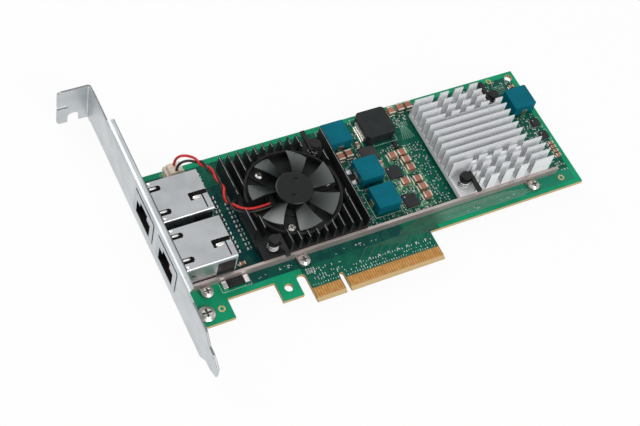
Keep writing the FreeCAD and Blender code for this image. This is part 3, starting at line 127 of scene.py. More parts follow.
# %% One way to add a node
def feed(tree, slot, value):
    """Link a Shade or a socket to a slot, or write a plain value into it."""
    value = getattr(value, "socket", value)
    if isinstance(value, bpy.types.NodeSocket):
        tree.links.new(value, slot)
    else:
        slot.default_value = value


def add_node(tree, kind, output=None, settings=None, **inputs):
    """Any node: its settings first, then its sockets by name; a digit after a name picks a later twin."""
    node = tree.nodes.new(kind)
    for name, value in (settings or {}).items():
        setattr(node, name, value)
    for name, value in inputs.items():
        label = name.rstrip("123")
        twins = [slot for slot in node.inputs if slot.enabled and slot.name == label.replace("_", " ")]
        feed(tree, twins[int(name[len(label):] or 0)], value)
    if output:
        return node.outputs[output]
    return next((socket for socket in node.outputs if socket.enabled), None)


# %% A socket that can be used in a formula
def maths(operation, swapped=False):
    """A method that adds one Math node; swapped puts the other value first."""
    def method(shade, *others):
        values = (*others, shade) if swapped else (shade, *others)
        inputs = dict(zip(("Value", "Value1", "Value2"), values))
        settings = {"operation": operation}
        return Shade(shade.tree, add_node(shade.tree, "ShaderNodeMath", settings=settings, **inputs))
    return method


class Shade:
    """One output socket of a material's tree, usable in arithmetic."""

    def __init__(self, tree, socket):
        self.tree = tree
        self.socket = socket

    __add__ = __radd__ = maths("ADD")
    __sub__ = maths("SUBTRACT")
    __rsub__ = maths("SUBTRACT", swapped=True)
    __mul__ = __rmul__ = maths("MULTIPLY")
    __abs__ = maths("ABSOLUTE")
    above = maths("GREATER_THAN")
    below = maths("LESS_THAN")
    most = maths("MAXIMUM")
    wrap = maths("WRAP")

    def between(self, low, high):
        return self.above(low) * self.below(high)

    def repeat(self, pitch):
        """The distance into the present period of a pattern that repeats at a pitch."""
        return self.wrap(pitch, 0.0)

    def ease(self, low, high):
        """0 below low, 1 above high and smooth between them."""
        return Shade(self.tree, add_node(self.tree, "ShaderNodeMapRange", Value=self, From_Min=low,
                                         From_Max=high, settings={"interpolation_type": "SMOOTHSTEP"}))


# %% A material with millimetre coordinates
class Finish:
    """A principled material whose patterns are written as formulas."""

    def __init__(self, name, color, roughness=0.5, metallic=0.0, **sockets):
        self.material = bpy.data.materials.new(name)
        self.material.use_nodes = True
        self.tree = self.material.node_tree
        self.surface = self.tree.nodes["Principled BSDF"]
        self.put(Base_Color=(*color, 1.0), Roughness=roughness, Metallic=metallic, **sockets)

    def put(self, **sockets):
        """Feed the surface's sockets with values or Shades."""
        for name, value in sockets.items():
            feed(self.tree, self.surface.inputs[name.replace("_", " ")], value)

    def node(self, kind, **parts):
        return Shade(self.tree, add_node(self.tree, "ShaderNode" + kind, **parts))

    def place(self):
        """Object coordinates in millimetres."""
        spot = self.node("TexCoord", output="Object")
        return self.node("VectorMath", settings={"operation": "SCALE"}, Vector=spot, Scale=1 / MM)

    def split(self, vector):
        """The X, Y and Z of a vector."""
        parts = self.node("SeparateXYZ", Vector=vector).socket.node.outputs
        return [Shade(self.tree, part) for part in parts]

    def axes(self):
        return self.split(self.place())

    def facing(self, letter):
        """How far a face looks along an axis, without its sign."""
        return abs(self.split(self.node("NewGeometry", output="Normal"))["XYZ".index(letter)])

    def noise(self, scale, detail=3.0, stretch=(1, 1, 1)):
        """Smooth noise at a scale in features per millimetre, stretched along the axes."""
        place = self.node("VectorMath", settings={"operation": "MULTIPLY"}, Vector=self.place(),
                          Vector1=stretch)
        return self.node("TexNoise", Vector=place, Scale=scale, Detail=detail)

    def dots(self, scale, radius):
        """1 inside dots scattered at a scale in dots per millimetre."""
        return self.node("TexVoronoi", Vector=self.place(), Scale=scale).below(radius * scale)

    def blend(self, share, first, second):
        """One colour or another by a share between 0 and 1; each is a colour or a Shade."""
        first, second = (tone if isinstance(tone, Shade) else (*tone, 1.0) for tone in (first, second))
        return self.node("Mix", settings={"data_type": "RGBA"}, Factor=share, A=first, B=second)

    def bump(self, height, distance):
        """Raise the surface by a pattern, over a distance in millimetres."""
        self.put(Normal=self.node("Bump", Height=height, Distance=distance * MM))


# %% [markdown]
# ## Studio
#
# To the camera the paper floor and the tent are white. A lit floor would grey out, so Light Path splits
# it: seen directly or in a mirror it mostly glows white, and for everything else it is plain paper that
# keeps a faint shadow of the card. The tent does the same at a lower strength.

# %% White paper, white tent and two soft boxes
WHITE = (1.0, 1.0, 1.0, 1.0)
PAPER = (0.82, 0.82, 0.82, 1.0)
FLOOR_GLOW = 0.94
TENT_LIGHT = 0.50
TENT_MIRROR = 0.80
FLOOR_REACH = 6.0
FLOOR_GAP = 0.0002


def emptied(owner):
    """The node tree of a material or world, with nothing in it yet."""
    owner.use_nodes = True
    owner.node_tree.nodes.clear()
    return owner.node_tree


def light_path(tree):
    rays = add_node(tree, "ShaderNodeLightPath").node.outputs
    return [Shade(tree, rays[f"Is {kind} Ray"]) for kind in ("Camera", "Glossy", "Transmission")]


def paper_floor(level):
    material = bpy.data.materials.new("white_paper")
    tree = emptied(material)
    camera, glossy, clear = light_path(tree)
    mixed = add_node(tree, "ShaderNodeMixShader", Fac=camera.most(glossy).most(clear) * FLOOR_GLOW,
                     Shader=add_node(tree, "ShaderNodeBsdfDiffuse", Color=PAPER),
                     Shader1=add_node(tree, "ShaderNodeEmission", Color=WHITE))
    add_node(tree, "ShaderNodeOutputMaterial", Surface=mixed)
    mesh = bpy.data.meshes.new("floor")
    corners = ((-1, -1), (1, -1), (1, 1), (-1, 1))
    mesh.from_pydata([(x * FLOOR_REACH, y * FLOOR_REACH, level) for x, y in corners], [], [(0, 1, 2, 3)])
    mesh.materials.append(material)
    into_scene("floor", mesh)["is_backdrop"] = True


def white_tent():
    world = bpy.data.worlds.new("tent")
    bpy.context.scene.world = world
    tree = emptied(world)
    camera, glossy, clear = light_path(tree)
    mirrored = glossy.most(clear) * (TENT_MIRROR - TENT_LIGHT)
    strength = TENT_LIGHT + camera * (1 - TENT_LIGHT) + mirrored
    add_node(tree, "ShaderNodeOutputWorld",
             Surface=add_node(tree, "ShaderNodeBackground", Color=WHITE, Strength=strength))


def soft_box(name, place, size, power):
    """A square area lamp that looks where the camera looks."""
    lamp = bpy.data.lights.new(name, "AREA")
    lamp.shape = "SQUARE"
    lamp.size = size
    lamp.energy = power
    thing = into_scene(name, lamp)
    thing.location = place
    thing.rotation_euler = (AIM * MM - Vector(place)).to_track_quat("-Z", "Y").to_euler()


paper_floor(CAD_BOX[0].z - FLOOR_GAP)
white_tent()
soft_box("rear_box", (-0.35, 0.80, 0.62), 0.75, 4.8)
soft_box("front_box", (0.10, -0.80, 0.70), 0.55, 5.4)
print("studio lit by two soft boxes and a white tent")

# %% [markdown]
# ## Edges and wear
#
# A real edge is never perfectly sharp: it is eased by the press, the mould or the saw, and that narrow
# round is what catches the light. The Bevel node bends the shading normal near an edge and leaves the
# mesh alone, so it suits the carried-over CAD pieces. Its radius is one number per material.

# %% Helpers that every finish uses
def eased(finish, radius, height, depth):
    """Round the shading of the edges, with a fine relief on top."""
    rounded = finish.node("Bevel", settings={"samples": 6}, Radius=radius * MM)
    finish.put(Normal=finish.node("Bump", Height=height, Distance=depth * MM, Normal=rounded))
    return finish


def dress(finish, *names):
    """Give CAD nodes a finish."""
    for name in names:
        mesh = NODES[name].data
        mesh.materials.clear()
        mesh.materials.append(finish.material)
    print(finish.material.name, "on", *names)


def box_mm(name):
    """A node's lowest and highest corner in millimetres."""
    low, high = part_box(name)
    return low / MM, high / MM


def islands(name):
    """The boxes of a node's separate bits, in millimetres, from a merged copy of its mesh."""
    work = bmesh.new()
    work.from_mesh(NODES[name].data)
    bmesh.ops.remove_doubles(work, verts=work.verts, dist=1e-7)
    unseen = set(work.verts)
    found = []
    for start in work.verts:
        queue = [start] if start in unseen else []
        unseen.discard(start)
        bit = []
        while queue:
            vert = queue.pop()
            bit.append(vert.co / MM)
            reached = unseen.intersection(edge.other_vert(vert) for edge in vert.link_edges)
            unseen -= reached
            queue += reached
        if bit:
            found.append((Vector(map(min, zip(*bit))), Vector(map(max, zip(*bit)))))
    work.free()
    return found


# %% [markdown]
# ## The circuit board
#
# Solder resist is a thin green lacquer. Over bare laminate it looks bright, because light comes back
# through it, and over a copper plane it looks dark. So the board is one material with a few regions
# worked out from its own coordinates: the planes, the pale pours round the regulators, the faint runs
# and plated holes under the lacquer, and the bare laminate at the cut edges and beside the fingers.

# %% Regions of the lacquer
BOARD_LOW, BOARD_HIGH = box_mm("circuit_board")
CONTACTS_LOW = box_mm("edge_contacts")[0]
FINGER_TOP = 5.45
FOOT = (-14.0, 44.0)
BRIGHTENING = (42.0, 50.0)
RUN_PITCH = 0.62
RUN_WIDE = 0.2
PLANE_LOW = 19.4
PLANE_RIGHT = BOARD_HIGH.x - 2.4
COPPER_PLANE = (BOARD_LOW.x + 1.5, PLANE_RIGHT, PLANE_LOW, BOARD_HIGH.y - 2.3)
BAR_BAND = (30.0, PLANE_RIGHT, 13.9, PLANE_LOW)
FINGER_SIDE = (-13.2, 43.6, FINGER_TOP, 14.3)
TEAL_BAND = (-34.0, 30.0, 14.4, PLANE_LOW)
REGULATOR_POUR = (31.0, 49.0, 21.0, 50.0)
JACK_SIDE = (-36.0, -21.0, 20.0, 56.5)


def rectangle(across, up, sides, soft=0.3):
    """1 inside a rectangle, given by its left, right, low and high side, with a soft border."""
    left, right, low, high = sides
    inside = across.ease(left - soft, left) * (1 - across.ease(right, right + soft))
    return inside * up.ease(low - soft, low) * (1 - up.ease(high, high + soft))


def faint_runs(finish, across, up):
    """Copper runs under the lacquer: level, upright and slanting ones in patches of their own."""
    patch = finish.noise(0.07, 1.0)
    patches = ((up, patch.above(0.53)), (across, patch.below(0.43)),
               ((across + up) * math.sqrt(0.5), patch.between(0.43, 0.53)))
    runs = sum(spot.repeat(RUN_PITCH).below(RUN_WIDE) * inside for spot, inside in patches)
    return runs * finish.noise(0.2, 2.0).above(0.5)


# %% The lacquer and the bare laminate
def board_finish():
    finish = Finish("solder_resist_green", (0.0, 0.10, 0.05), roughness=0.34, Specular_IOR_Level=0.16)
    across, up = finish.axes()[:2]
    cloud = finish.noise(0.10, 2.0)
    grain = finish.noise(1.6, 4.0)
    plane, band, finger_side, teal = (rectangle(across, up, sides)
                                      for sides in (COPPER_PLANE, BAR_BAND, FINGER_SIDE, TEAL_BAND))
    pour = rectangle(across, up, REGULATOR_POUR, 1.5) * finish.noise(0.32, 2.0).ease(0.48, 0.6)
    runs = faint_runs(finish, across, up)
    bright = finish.blend(cloud.ease(0.3, 0.7), (0.001, 0.26, 0.12), (0.004, 0.34, 0.16))
    middle = finish.blend(cloud.ease(0.3, 0.7), (0.0, 0.115, 0.068), (0.002, 0.175, 0.095))
    dark = finish.blend(grain.ease(0.35, 0.65), (0.0, 0.050, 0.036), (0.001, 0.115, 0.070))
    lacquer = finish.blend(finger_side.most(band), bright, middle)
    for share, tone in ((plane, dark),
                        (band * across.ease(*BRIGHTENING) * 0.6, (0.02, 0.27, 0.17)),
                        (finger_side * 0.5, (0.0, 0.050, 0.040)),
                        (teal, (0.0, 0.060, 0.050)),
                        (rectangle(across, up, JACK_SIDE, 0.6), (0.0, 0.042, 0.042)),
                        (runs * 0.45, (0.012, 0.20, 0.10)),
                        (pour * 0.55, (0.11, 0.34, 0.15)),
                        (finish.dots(0.62, 0.15) * 0.55, (0.10, 0.34, 0.22))):
        lacquer = finish.blend(share, lacquer, tone)
    level_face = finish.facing("Z").above(0.6)
    bare = finish.blend(grain, (0.52, 0.36, 0.17), (0.64, 0.47, 0.25))
    bare = finish.blend(up.above(CONTACTS_LOW.y) * level_face * 0.8, bare, (0.20, 0.13, 0.05))
    uncoated = (1 - level_face).most(up.below(FINGER_TOP) * across.between(*FOOT))
    finish.put(Base_Color=finish.blend(uncoated, lacquer, bare),
               Roughness=0.28 + 0.4 * uncoated + 0.1 * grain)
    finish.bump(plane * 0.8 + runs * 0.8 + grain * 0.25, 0.02)
    return finish


dress(board_finish(), "circuit_board")
print("board, mm:", [round(v, 2) for v in BOARD_HIGH - BOARD_LOW])

# %% [markdown]
# ## Metals
#
# Each metal is told apart by how it was made. Plate is smooth with faint clouds, rolled sheet has a
# grain along its length, an extrusion has fine die lines and a sawn face has streaks across it. One grey
# would make them all alike, so each way of making is a function, and each piece gives it its numbers.

# %% Plated and rolled sheet
def rolled_steel(name, color, roughness, stretch, radius=0.12, metallic=1.0, darkened=None):
    """Sheet metal with a faint rolling grain along the least stretched axis; darkened gives places painted
    dark.
    """
    finish = Finish(name, color, roughness=roughness, metallic=metallic)
    grain = finish.noise(2.2, 4.0, stretch)
    cloud = finish.noise(0.12, 2.0)
    tone = finish.blend(cloud.ease(0.3, 0.7), *([c * share for c in color] for share in (0.90, 1.06)))
    if darkened:
        # paint the given places dark; along the lip this is painted shade
        tone = finish.blend(darkened(finish) * 0.8, tone, (0.16, 0.165, 0.17))
    finish.put(Base_Color=tone, Roughness=roughness + 0.10 * (grain - 0.5) + 0.08 * (cloud - 0.5))
    return eased(finish, radius, grain, 0.004)


def bracket_darkening(finish):
    """Painted dark: the faces that look up on the two tabs, and a softer painted shade along the lip."""
    across, up, height = finish.axes()
    flanged = up.between(8.0, 87.5)
    lip = flanged * across.above(-56.35) * height.above(13.4)
    return (finish.facing("Z").above(0.6) * (1 - flanged)).most(lip * 0.7)


# nodes, then name, colour, roughness, stretch, edge radius, metallic and the places painted dark
for nodes, *look in (
        ("bracket", "nickel_plated_bracket", (0.56, 0.59, 0.605), 0.34, (3, 0.08, 0.6), 0.25, 1.0,
         bracket_darkening),
        ("port_a_shell port_b_shell", "shell_tin_plate", (0.485, 0.50, 0.515), 0.36, (0.1, 3, 1), 0.15),
        ("stiffener_bar", "bar_satin_steel", (0.54, 0.46, 0.44), 0.5, (0.05, 3, 3), 0.15, 0.7),
        ("fan_stator", "laminated_stator", (0.36, 0.36, 0.38), 0.45, (1, 1, 6)),
        ("fan_shaft", "ground_shaft", (0.75, 0.75, 0.76), 0.22, (3, 3, 0.2)),
        ("fan_bearing", "sintered_bronze", (0.55, 0.40, 0.20), 0.5, (2, 2, 2))):
    dress(rolled_steel(*look), *nodes.split())


# %% Small metal parts that are plated bright
def clouded_metal(name, dull, bright, roughness, spread, scale, radius=0.08, recess_under=None):
    """A plated or soldered metal whose tone and gloss drift in clouds; a drive recess gets painted shade."""
    finish = Finish(name, dull, roughness=roughness, metallic=1.0)
    cloud = finish.noise(scale, 3.0)
    tone = finish.blend(cloud.ease(0.35, 0.65), dull, bright)
    # painted shade on the floor of the drive recess
    if recess_under is not None:
        floor = finish.axes()[2].below(recess_under) * finish.facing("Z").above(0.9)
        tone = finish.blend(floor * 0.85, tone, (0.06, 0.055, 0.05))
    finish.put(Base_Color=tone, Roughness=roughness + spread * cloud)
    return eased(finish, radius, cloud, 0.01)


ZINC = ((0.42, 0.40, 0.37), (0.72, 0.70, 0.67), 0.2, 0.2, 0.9, 0.12)
GOLD = clouded_metal("gold_plate", (0.62, 0.27, 0.07), (0.72, 0.37, 0.12), 0.3, 0.14, 0.5, 0.02)
PALE_GOLD = clouded_metal("pale_gold_plate", (0.56, 0.42, 0.20), (0.70, 0.56, 0.30), 0.3, 0.14, 0.5, 0.02)
SPECK = clouded_metal("bright_solder", (0.74, 0.75, 0.74), (0.98, 0.98, 0.97), 0.25, 0.2, 1.5)
SPRING = clouded_metal("spring_wire", (0.74, 0.73, 0.71), (0.96, 0.95, 0.94), 0.18, 0.15, 1.2, 0.02)
TIN = clouded_metal("bright_tin", (0.74, 0.70, 0.63), (0.95, 0.93, 0.89), 0.24, 0.2, 1.5)
BAND = clouded_metal("tinned_band", (0.60, 0.50, 0.40), (0.86, 0.78, 0.68), 0.3, 0.2, 0.8)
COPPER_FOOT = clouded_metal("tinned_copper_foot", (0.60, 0.30, 0.18), (0.78, 0.66, 0.56), 0.28, 0.2, 0.5,
                            0.1)
RECESS_DEPTH = 0.35
for name in ("stiffener_screws", "bracket_screw", "fan_screws"):
    dress(clouded_metal(name + "_zinc", *ZINC, box_mm(name)[1].z - RECESS_DEPTH), name)
dress(clouded_metal("zinc_plated_screw", *ZINC), "stiffener_nuts")
dress(GOLD, "edge_contacts", "port_a_contacts", "port_b_contacts", "header_pins")
dress(SPRING, "fan_sink_springs", "cooler_springs")
dress(COPPER_FOOT, "inductor_terminals")
dress(TIN, "choke_terminals")


# %% Two heatsinks: anodised black and bare
def anodised_finish():
    finish = Finish("black_anodised", (0.012, 0.013, 0.014), roughness=0.42, Specular_IOR_Level=0.25)
    height = finish.axes()[2]
    lines = finish.noise(2.5, 4.0, (3, 0.05, 3))
    top = box_mm("fan_heatsink")[1].z
    rounded = finish.node("Bevel", settings={"samples": 8}, Radius=0.3 * MM)
    lean = finish.split(rounded)[0]
    # bare worn metal on the fin tops, kept to the half that catches the light: partly a painted highlight
    rim = height.above(top - 0.05) * finish.facing("Z").above(0.7) * lean.below(-0.04)
    worn_lit_edge = rim * finish.noise(0.5, 3.0).ease(0.25, 0.5)
    finish.put(Base_Color=finish.blend(worn_lit_edge, (0.010, 0.011, 0.012), (0.42, 0.42, 0.42)),
               Roughness=0.38 + 0.14 * lines, Metallic=0.9 * worn_lit_edge)
    return eased(finish, 0.1, lines, 0.01)


FIN_HEIGHT = 8.0


def extrusion_finish():
    finish = Finish("bare_extrusion", (0.72, 0.73, 0.75), roughness=0.46, metallic=0.12)
    height = finish.axes()[2]
    lines = finish.noise(2.0, 4.0, (0.05, 3, 3))
    streaks = finish.noise(2.4, 4.0, (3, 0.2, 3))
    top = box_mm("aluminium_heatsink")[1].z
    sawn = finish.facing("X").above(0.6)
    base_side = sawn * height.below(top - FIN_HEIGHT)
    rim = height.above(top - 0.2) * finish.facing("Z").above(0.7)
    floor = height.below(top - FIN_HEIGHT) * finish.facing("Z").above(0.7)
    plain = finish.blend(lines.ease(0.3, 0.7), (0.80, 0.812, 0.825), (0.88, 0.892, 0.905))
    # painted shade: the sawn ends are painted dark, less so on the base's sides
    plain = finish.blend(sawn * 0.8 - base_side * 0.5, plain, (0.30, 0.31, 0.32))
    # painted shade: the fin tops and the floor between the fins are painted darker than the sides
    finish.put(Base_Color=finish.blend(rim.most(floor) * 0.9, plain, (0.62, 0.63, 0.645)),
               Roughness=0.42 + 0.12 * lines + 0.14 * sawn)
    return eased(finish, 0.1, lines * (1 - sawn) + streaks * sawn, 0.02)


dress(anodised_finish(), "fan_heatsink")
dress(extrusion_finish(), "aluminium_heatsink")

# %% [markdown]
# ## Mouldings
#
# Moulded pieces differ in gloss and in the size of their grain. Epoxy packages are matt with a fine
# pebble, nylon has a soft sheen, and the glazed parts are smooth. One function covers them, because they
# differ only in those numbers. The fan gets its own: its blades get a painted sheen that grows by radius.

# %% Moulded and fired materials
def moulding(name, dark, light, roughness, grain_scale=5.0, relief=0.012, radius=0.12, gloss=0.25):
    """A moulded surface between two close colours, with a pebble grain."""
    finish = Finish(name, dark, roughness=roughness, Specular_IOR_Level=gloss)
    grain = finish.noise(grain_scale, 4.0)
    cloud = finish.noise(0.18, 2.0)
    finish.put(Base_Color=finish.blend((grain * 0.5 + cloud * 0.5).ease(0.35, 0.65), dark, light),
               Roughness=roughness + 0.10 * (grain - 0.5) + 0.06 * (cloud - 0.5))
    return eased(finish, radius, grain, relief)


HUB_WALL = 1.2


def fan_finish():
    """Black moulding with a painted sheen on the blades that lightens towards the tips, and a darker hub."""
    finish = Finish("fan_moulding", (0.012, 0.018, 0.016), roughness=0.3, Specular_IOR_Level=0.3,
                    Coat_Roughness=0.22, Coat_IOR=1.6)
    low, high = box_mm("fan_magnet")
    hub = ((high.x - low.x) / 2 + HUB_WALL) ** 2
    tip_low, tip_high = box_mm("fan_rotor")
    tip = ((tip_high.x - tip_low.x) / 2) ** 2
    across, up = (axis - middle for axis, middle in zip(finish.axes(), (low.xy + high.xy) / 2))
    out = across * across + up * up
    blade = out.above(hub)
    toward_tip = out.ease(hub, tip)
    grain = finish.noise(3.0, 4.0)
    # painted sheen: the blades' grey lightens towards the tips, and the hub is painted darker
    hub_black = finish.blend(grain, (0.003, 0.004, 0.004), (0.006, 0.007, 0.007))
    blade_sheen = finish.blend(toward_tip * 0.8 + grain * 0.2, (0.006, 0.010, 0.009), (0.062, 0.074, 0.071))
    finish.put(Base_Color=finish.blend(blade, hub_black, blade_sheen), Roughness=0.26 + 0.12 * grain,
               Coat_Weight=blade * toward_tip * 0.9)
    return eased(finish, 0.25, grain, 0.006)


# %% Every moulded piece gets its finish
CERAMIC = moulding("fired_ceramic", (0.30, 0.115, 0.080), (0.44, 0.19, 0.13), 0.35, 2.0, 0.01, 0.15)
GLAZE = moulding("black_glaze", (0.012, 0.012, 0.014), (0.022, 0.022, 0.025), 0.28, 2.0, 0.005)
dress(CERAMIC, "ceramic_capacitors", "small_capacitors")
dress(GLAZE, "termination_resistors", "sense_resistor", "input_fuse")
dress(fan_finish(), "fan_rotor")
# nodes, then name, dark, light, roughness, grain scale, relief, edge radius and gloss
for nodes, *look in (
        ("controller_chip bridge_chip regulator_chips clock_chips transistor",
         "epoxy_package", (0.016, 0.016, 0.018), (0.028, 0.028, 0.031), 0.5),
        ("power_stage_chip", "laminated_power_stage", (0.036, 0.034, 0.035), (0.055, 0.052, 0.052), 0.45),
        ("controller_pad bridge_pad", "soft_grey_pad", (0.36, 0.39, 0.42), (0.44, 0.47, 0.50), 0.7),
        ("fan_sink_pins cooler_pins", "black_nylon", (0.010, 0.010, 0.011), (0.020, 0.020, 0.021), 0.34,
         2.0, 0.01, 0.2),
        ("fan_frame", "frame_moulding", (0.009, 0.009, 0.010), (0.016, 0.016, 0.017), 0.4, 3.0, 0.008, 0.2),
        ("port_a_housing port_b_housing", "port_moulding", (0.010, 0.010, 0.011), (0.020, 0.020, 0.021),
         0.36, 3.0, 0.01, 0.1),
        ("inductor_a inductor_b inductor_c inductor_d", "teal_coil_block", (0.0, 0.110, 0.155),
         (0.001, 0.138, 0.190), 0.45, 3.5, 0.02, 0.25, 0.1),
        ("filter_choke", "choke_ferrite", (0.009, 0.012, 0.013), (0.017, 0.020, 0.021), 0.36, 3.0, 0.03, 0.3),
        ("fan_header fan_plug", "ivory_nylon", (0.64, 0.50, 0.36), (0.86, 0.79, 0.69), 0.42, 1.0, 0.01, 0.15),
        ("fan_motor_board", "black_motor_board", (0.010, 0.014, 0.012), (0.018, 0.024, 0.021), 0.4),
        ("fan_magnet", "bonded_magnet", (0.06, 0.06, 0.065), (0.10, 0.10, 0.11), 0.55)):
    dress(moulding(*look), *nodes.split())

# %% [markdown]
# ## The fan's two leads
#
# A thin lead is stiff enough to leave its plug straight and then falls in one curve to the motor. A
# NURBS line of order 3 through a few control points gives exactly that. The two leads are also wound
# round each other, so each follows the line midway between their routes, half a turn apart.

# %% Two routes from the plug to the motor
PIN_LOW, PIN_HIGH = box_mm("header_pins")
PLUG_TOP = box_mm("fan_plug")[1].z
SHAFT_LOW, SHAFT_HIGH = box_mm("fan_shaft")
MOTOR_CENTRE = (SHAFT_LOW + SHAFT_HIGH) / 2
LEAD_RADIUS = 0.5
LEAD_RISE = 4.0
LEAD_REACH = 9.6
LEAD_END_UP = 5.75
RED_BEARING = math.radians(185)
BLACK_BEARING = math.radians(193)
RED_ROUTE = [(-38.4, 64.2, 14.6), (-33.9, 61.3, 13.6), (-30.0, 57.4, 11.1), (-28.2, 51.8, 9.4),
             (-28.9, 46.4, 8.9), (-27.9, 42.0, 8.4), (-23.9, 39.9, 6.7), (-19.0, 39.7, 5.8)]
BLACK_ROUTE = [(-37.6, 61.9, 14.0), (-33.6, 60.8, 11.7), (-30.6, 56.9, 9.7), (-28.9, 51.9, 8.4),
               (-30.2, 46.6, 7.9), (-28.8, 41.6, 7.2), (-24.3, 38.9, 5.9), (-19.2, 38.5, 5.7)]
print("motor centre, mm:", [round(v, 2) for v in MOTOR_CENTRE])


def bare_curve(name, kind, points):
    """A curve object of one spline through or near its points, in millimetres."""
    curve = bpy.data.curves.new(name, "CURVE")
    curve.dimensions = "3D"
    spline = curve.splines.new(kind)
    spline.points.add(len(points) - 1)
    for control, point in zip(spline.points, points):
        control.co = (*(point * MM), 1.0)
    if kind == "NURBS":
        spline.order_u = 3
        spline.use_endpoint_u = True
        spline.resolution_u = 12
    return into_scene(name, curve)


def evaluated(thing):
    """The mesh that a curve or a modifier comes to."""
    ready = thing.evaluated_get(bpy.context.evaluated_depsgraph_get())
    return bpy.data.meshes.new_from_object(ready)


def as_mesh(thing):
    """The mesh of a curve object, which is then removed."""
    mesh = evaluated(thing)
    bpy.data.objects.remove(thing)
    return mesh


def route_line(start_up, route, bearing):
    """The smooth line of one lead: straight up from its pin, along its route and in to the motor."""
    start = Vector(((PIN_LOW.x + PIN_HIGH.x) / 2, start_up, PLUG_TOP))
    end = Vector((MOTOR_CENTRE.x + LEAD_REACH * math.cos(bearing),
                  MOTOR_CENTRE.y + LEAD_REACH * math.sin(bearing), LEAD_END_UP))
    points = [start, start + Vector((0, 0, LEAD_RISE)), *map(Vector, route), end]
    return [vert.co / MM for vert in as_mesh(bare_curve("route", "NURBS", points)).vertices]


# %% Winding one lead round the other
TWIST_FROM = 10.2
TWIST_TO = 35.5
TWIST_PITCH = 8.6
TWIST_EASE = 3.5
HALF_GAP = 0.54


def eased_step(x):
    x = min(max(x, 0.0), 1.0)
    return x * x * (3 - 2 * x)


def wound_pair(first, second):
    """Both lines, turned round the line midway between them where the leads are twisted."""
    middles = [(a + b) / 2 for a, b in zip(first, second)]
    last = len(middles) - 1
    travelled = 0.0
    pairs = []
    for k, middle in enumerate(middles):
        travelled += (middle - middles[max(k - 1, 0)]).length
        along = middles[min(k + 1, last)] - middles[max(k - 1, 0)]
        side = Vector((0, 0, 1)).cross(along).normalized()
        lift = along.cross(side).normalized()
        turn = math.tau * (travelled - TWIST_FROM) / TWIST_PITCH + math.pi / 2
        share = (eased_step((travelled - TWIST_FROM) / TWIST_EASE)
                 * eased_step((TWIST_TO - travelled) / TWIST_EASE))
        helix = (side * math.cos(turn) + lift * math.sin(turn)) * HALF_GAP
        half = ((first[k] - second[k]) / 2).lerp(helix, share)
        half *= max(HALF_GAP / half.length, 1.0)
        pairs.append((middle + half, middle - half))
    return zip(*pairs)


# %% The two leads
def lead_finish(name, dark, light):
    finish = Finish(name, dark, roughness=0.34, Specular_IOR_Level=0.4)
    grain = finish.noise(1.2, 3.0)
    finish.put(Base_Color=finish.blend(grain.ease(0.3, 0.7), dark, light), Roughness=0.28 + 0.16 * grain)
    return finish


def lead(name, node, finish, path):
    """A round lead along its path, capped at both ends, with the length in mm that was settled for it."""
    thing = bare_curve(name, "POLY", path)
    thing.data.bevel_depth = LEAD_RADIUS * MM
    thing.data.bevel_resolution = 3
    thing.data.use_fill_caps = True
    thing.data.materials.append(finish.material)
    tube = into_scene(name, as_mesh(thing))
    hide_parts(node)
    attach(tube, CARD)
    print(name, "mm long:", round(sum((b - a).length for a, b in zip(path, path[1:])), 1))


PINS = sorted(((low.y + high.y) / 2 for low, high in islands("header_pins")), reverse=True)
RED_PATH, BLACK_PATH = wound_pair(route_line(PINS[0], RED_ROUTE, RED_BEARING),
                                  route_line(PINS[1], BLACK_ROUTE, BLACK_BEARING))
RED = lead_finish("red_insulation", (0.50, 0.012, 0.012), (0.70, 0.035, 0.03))
BLACK = lead_finish("black_insulation", (0.010, 0.010, 0.011), (0.022, 0.022, 0.022))
lead("motor_lead_red", "fan_lead_red", RED, RED_PATH)
lead("motor_lead_black", "fan_lead_black", BLACK, BLACK_PATH)

# %% [markdown]
# ## Growing what repeats
#
# A populated board repeats a few small shapes hundreds of times. Geometry Nodes suit that: a mesh of
# bare points says where, one tree says what, and a change to the tree reaches every copy. `Grower`
# builds a tree, and `grow` runs it on a mesh and keeps the result as a plain mesh in one piece.

# %% A tree under construction
class Grower:
    """A Geometry Nodes tree with named inputs that ends in Realize Instances and Set Material."""

    def __init__(self, name, **kinds):
        self.tree = bpy.data.node_groups.new(name, "GeometryNodeTree")
        for label, kind in {"Geometry": "Geometry", "Finish": "Material", **kinds}.items():
            self.tree.interface.new_socket(label, in_out="INPUT", socket_type="NodeSocket" + kind)
        self.tree.interface.new_socket("Geometry", in_out="OUTPUT", socket_type="NodeSocketGeometry")
        self.given = self.tree.nodes.new("NodeGroupInput").outputs

    def node(self, kind, **parts):
        return add_node(self.tree, kind, **parts)

    def finish(self, geometry):
        whole = self.node("GeometryNodeRealizeInstances", Geometry=geometry)
        self.node("NodeGroupOutput", Geometry=self.node("GeometryNodeSetMaterial", Geometry=whole,
                                                        Material=self.given["Finish"]))

    def stand(self, points, size, turn, **parts):
        """A copy of the template on every point, sized and turned about Z."""
        shape = self.node("GeometryNodeObjectInfo", output="Geometry", Object=self.given["Template"])
        angle = self.node("FunctionNodeEulerToRotation", Euler=self.node("ShaderNodeCombineXYZ", Z=turn))
        self.finish(self.node("GeometryNodeInstanceOnPoints", Points=points, Instance=shape,
                              Rotation=angle, Scale=size, **parts))

    def grow(self, name, source, slot, finish, **values):
        """Run the tree on a mesh and keep the result as a plain piece that rides on the card."""
        thing = into_scene(name, source)
        modifier = thing.modifiers.new("grow", "NODES")
        modifier.node_group = self.tree
        values["Finish"] = finish.material
        for item in self.tree.interface.items_tree:
            if item.in_out == "INPUT" and item.name in values:
                modifier[item.identifier] = values[item.name]
        thing.data = evaluated(thing)
        thing.modifiers.remove(modifier)
        thing.data.name = name
        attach(thing, CARD)
        print(f"{name}: {len(thing.data.polygons)} faces")


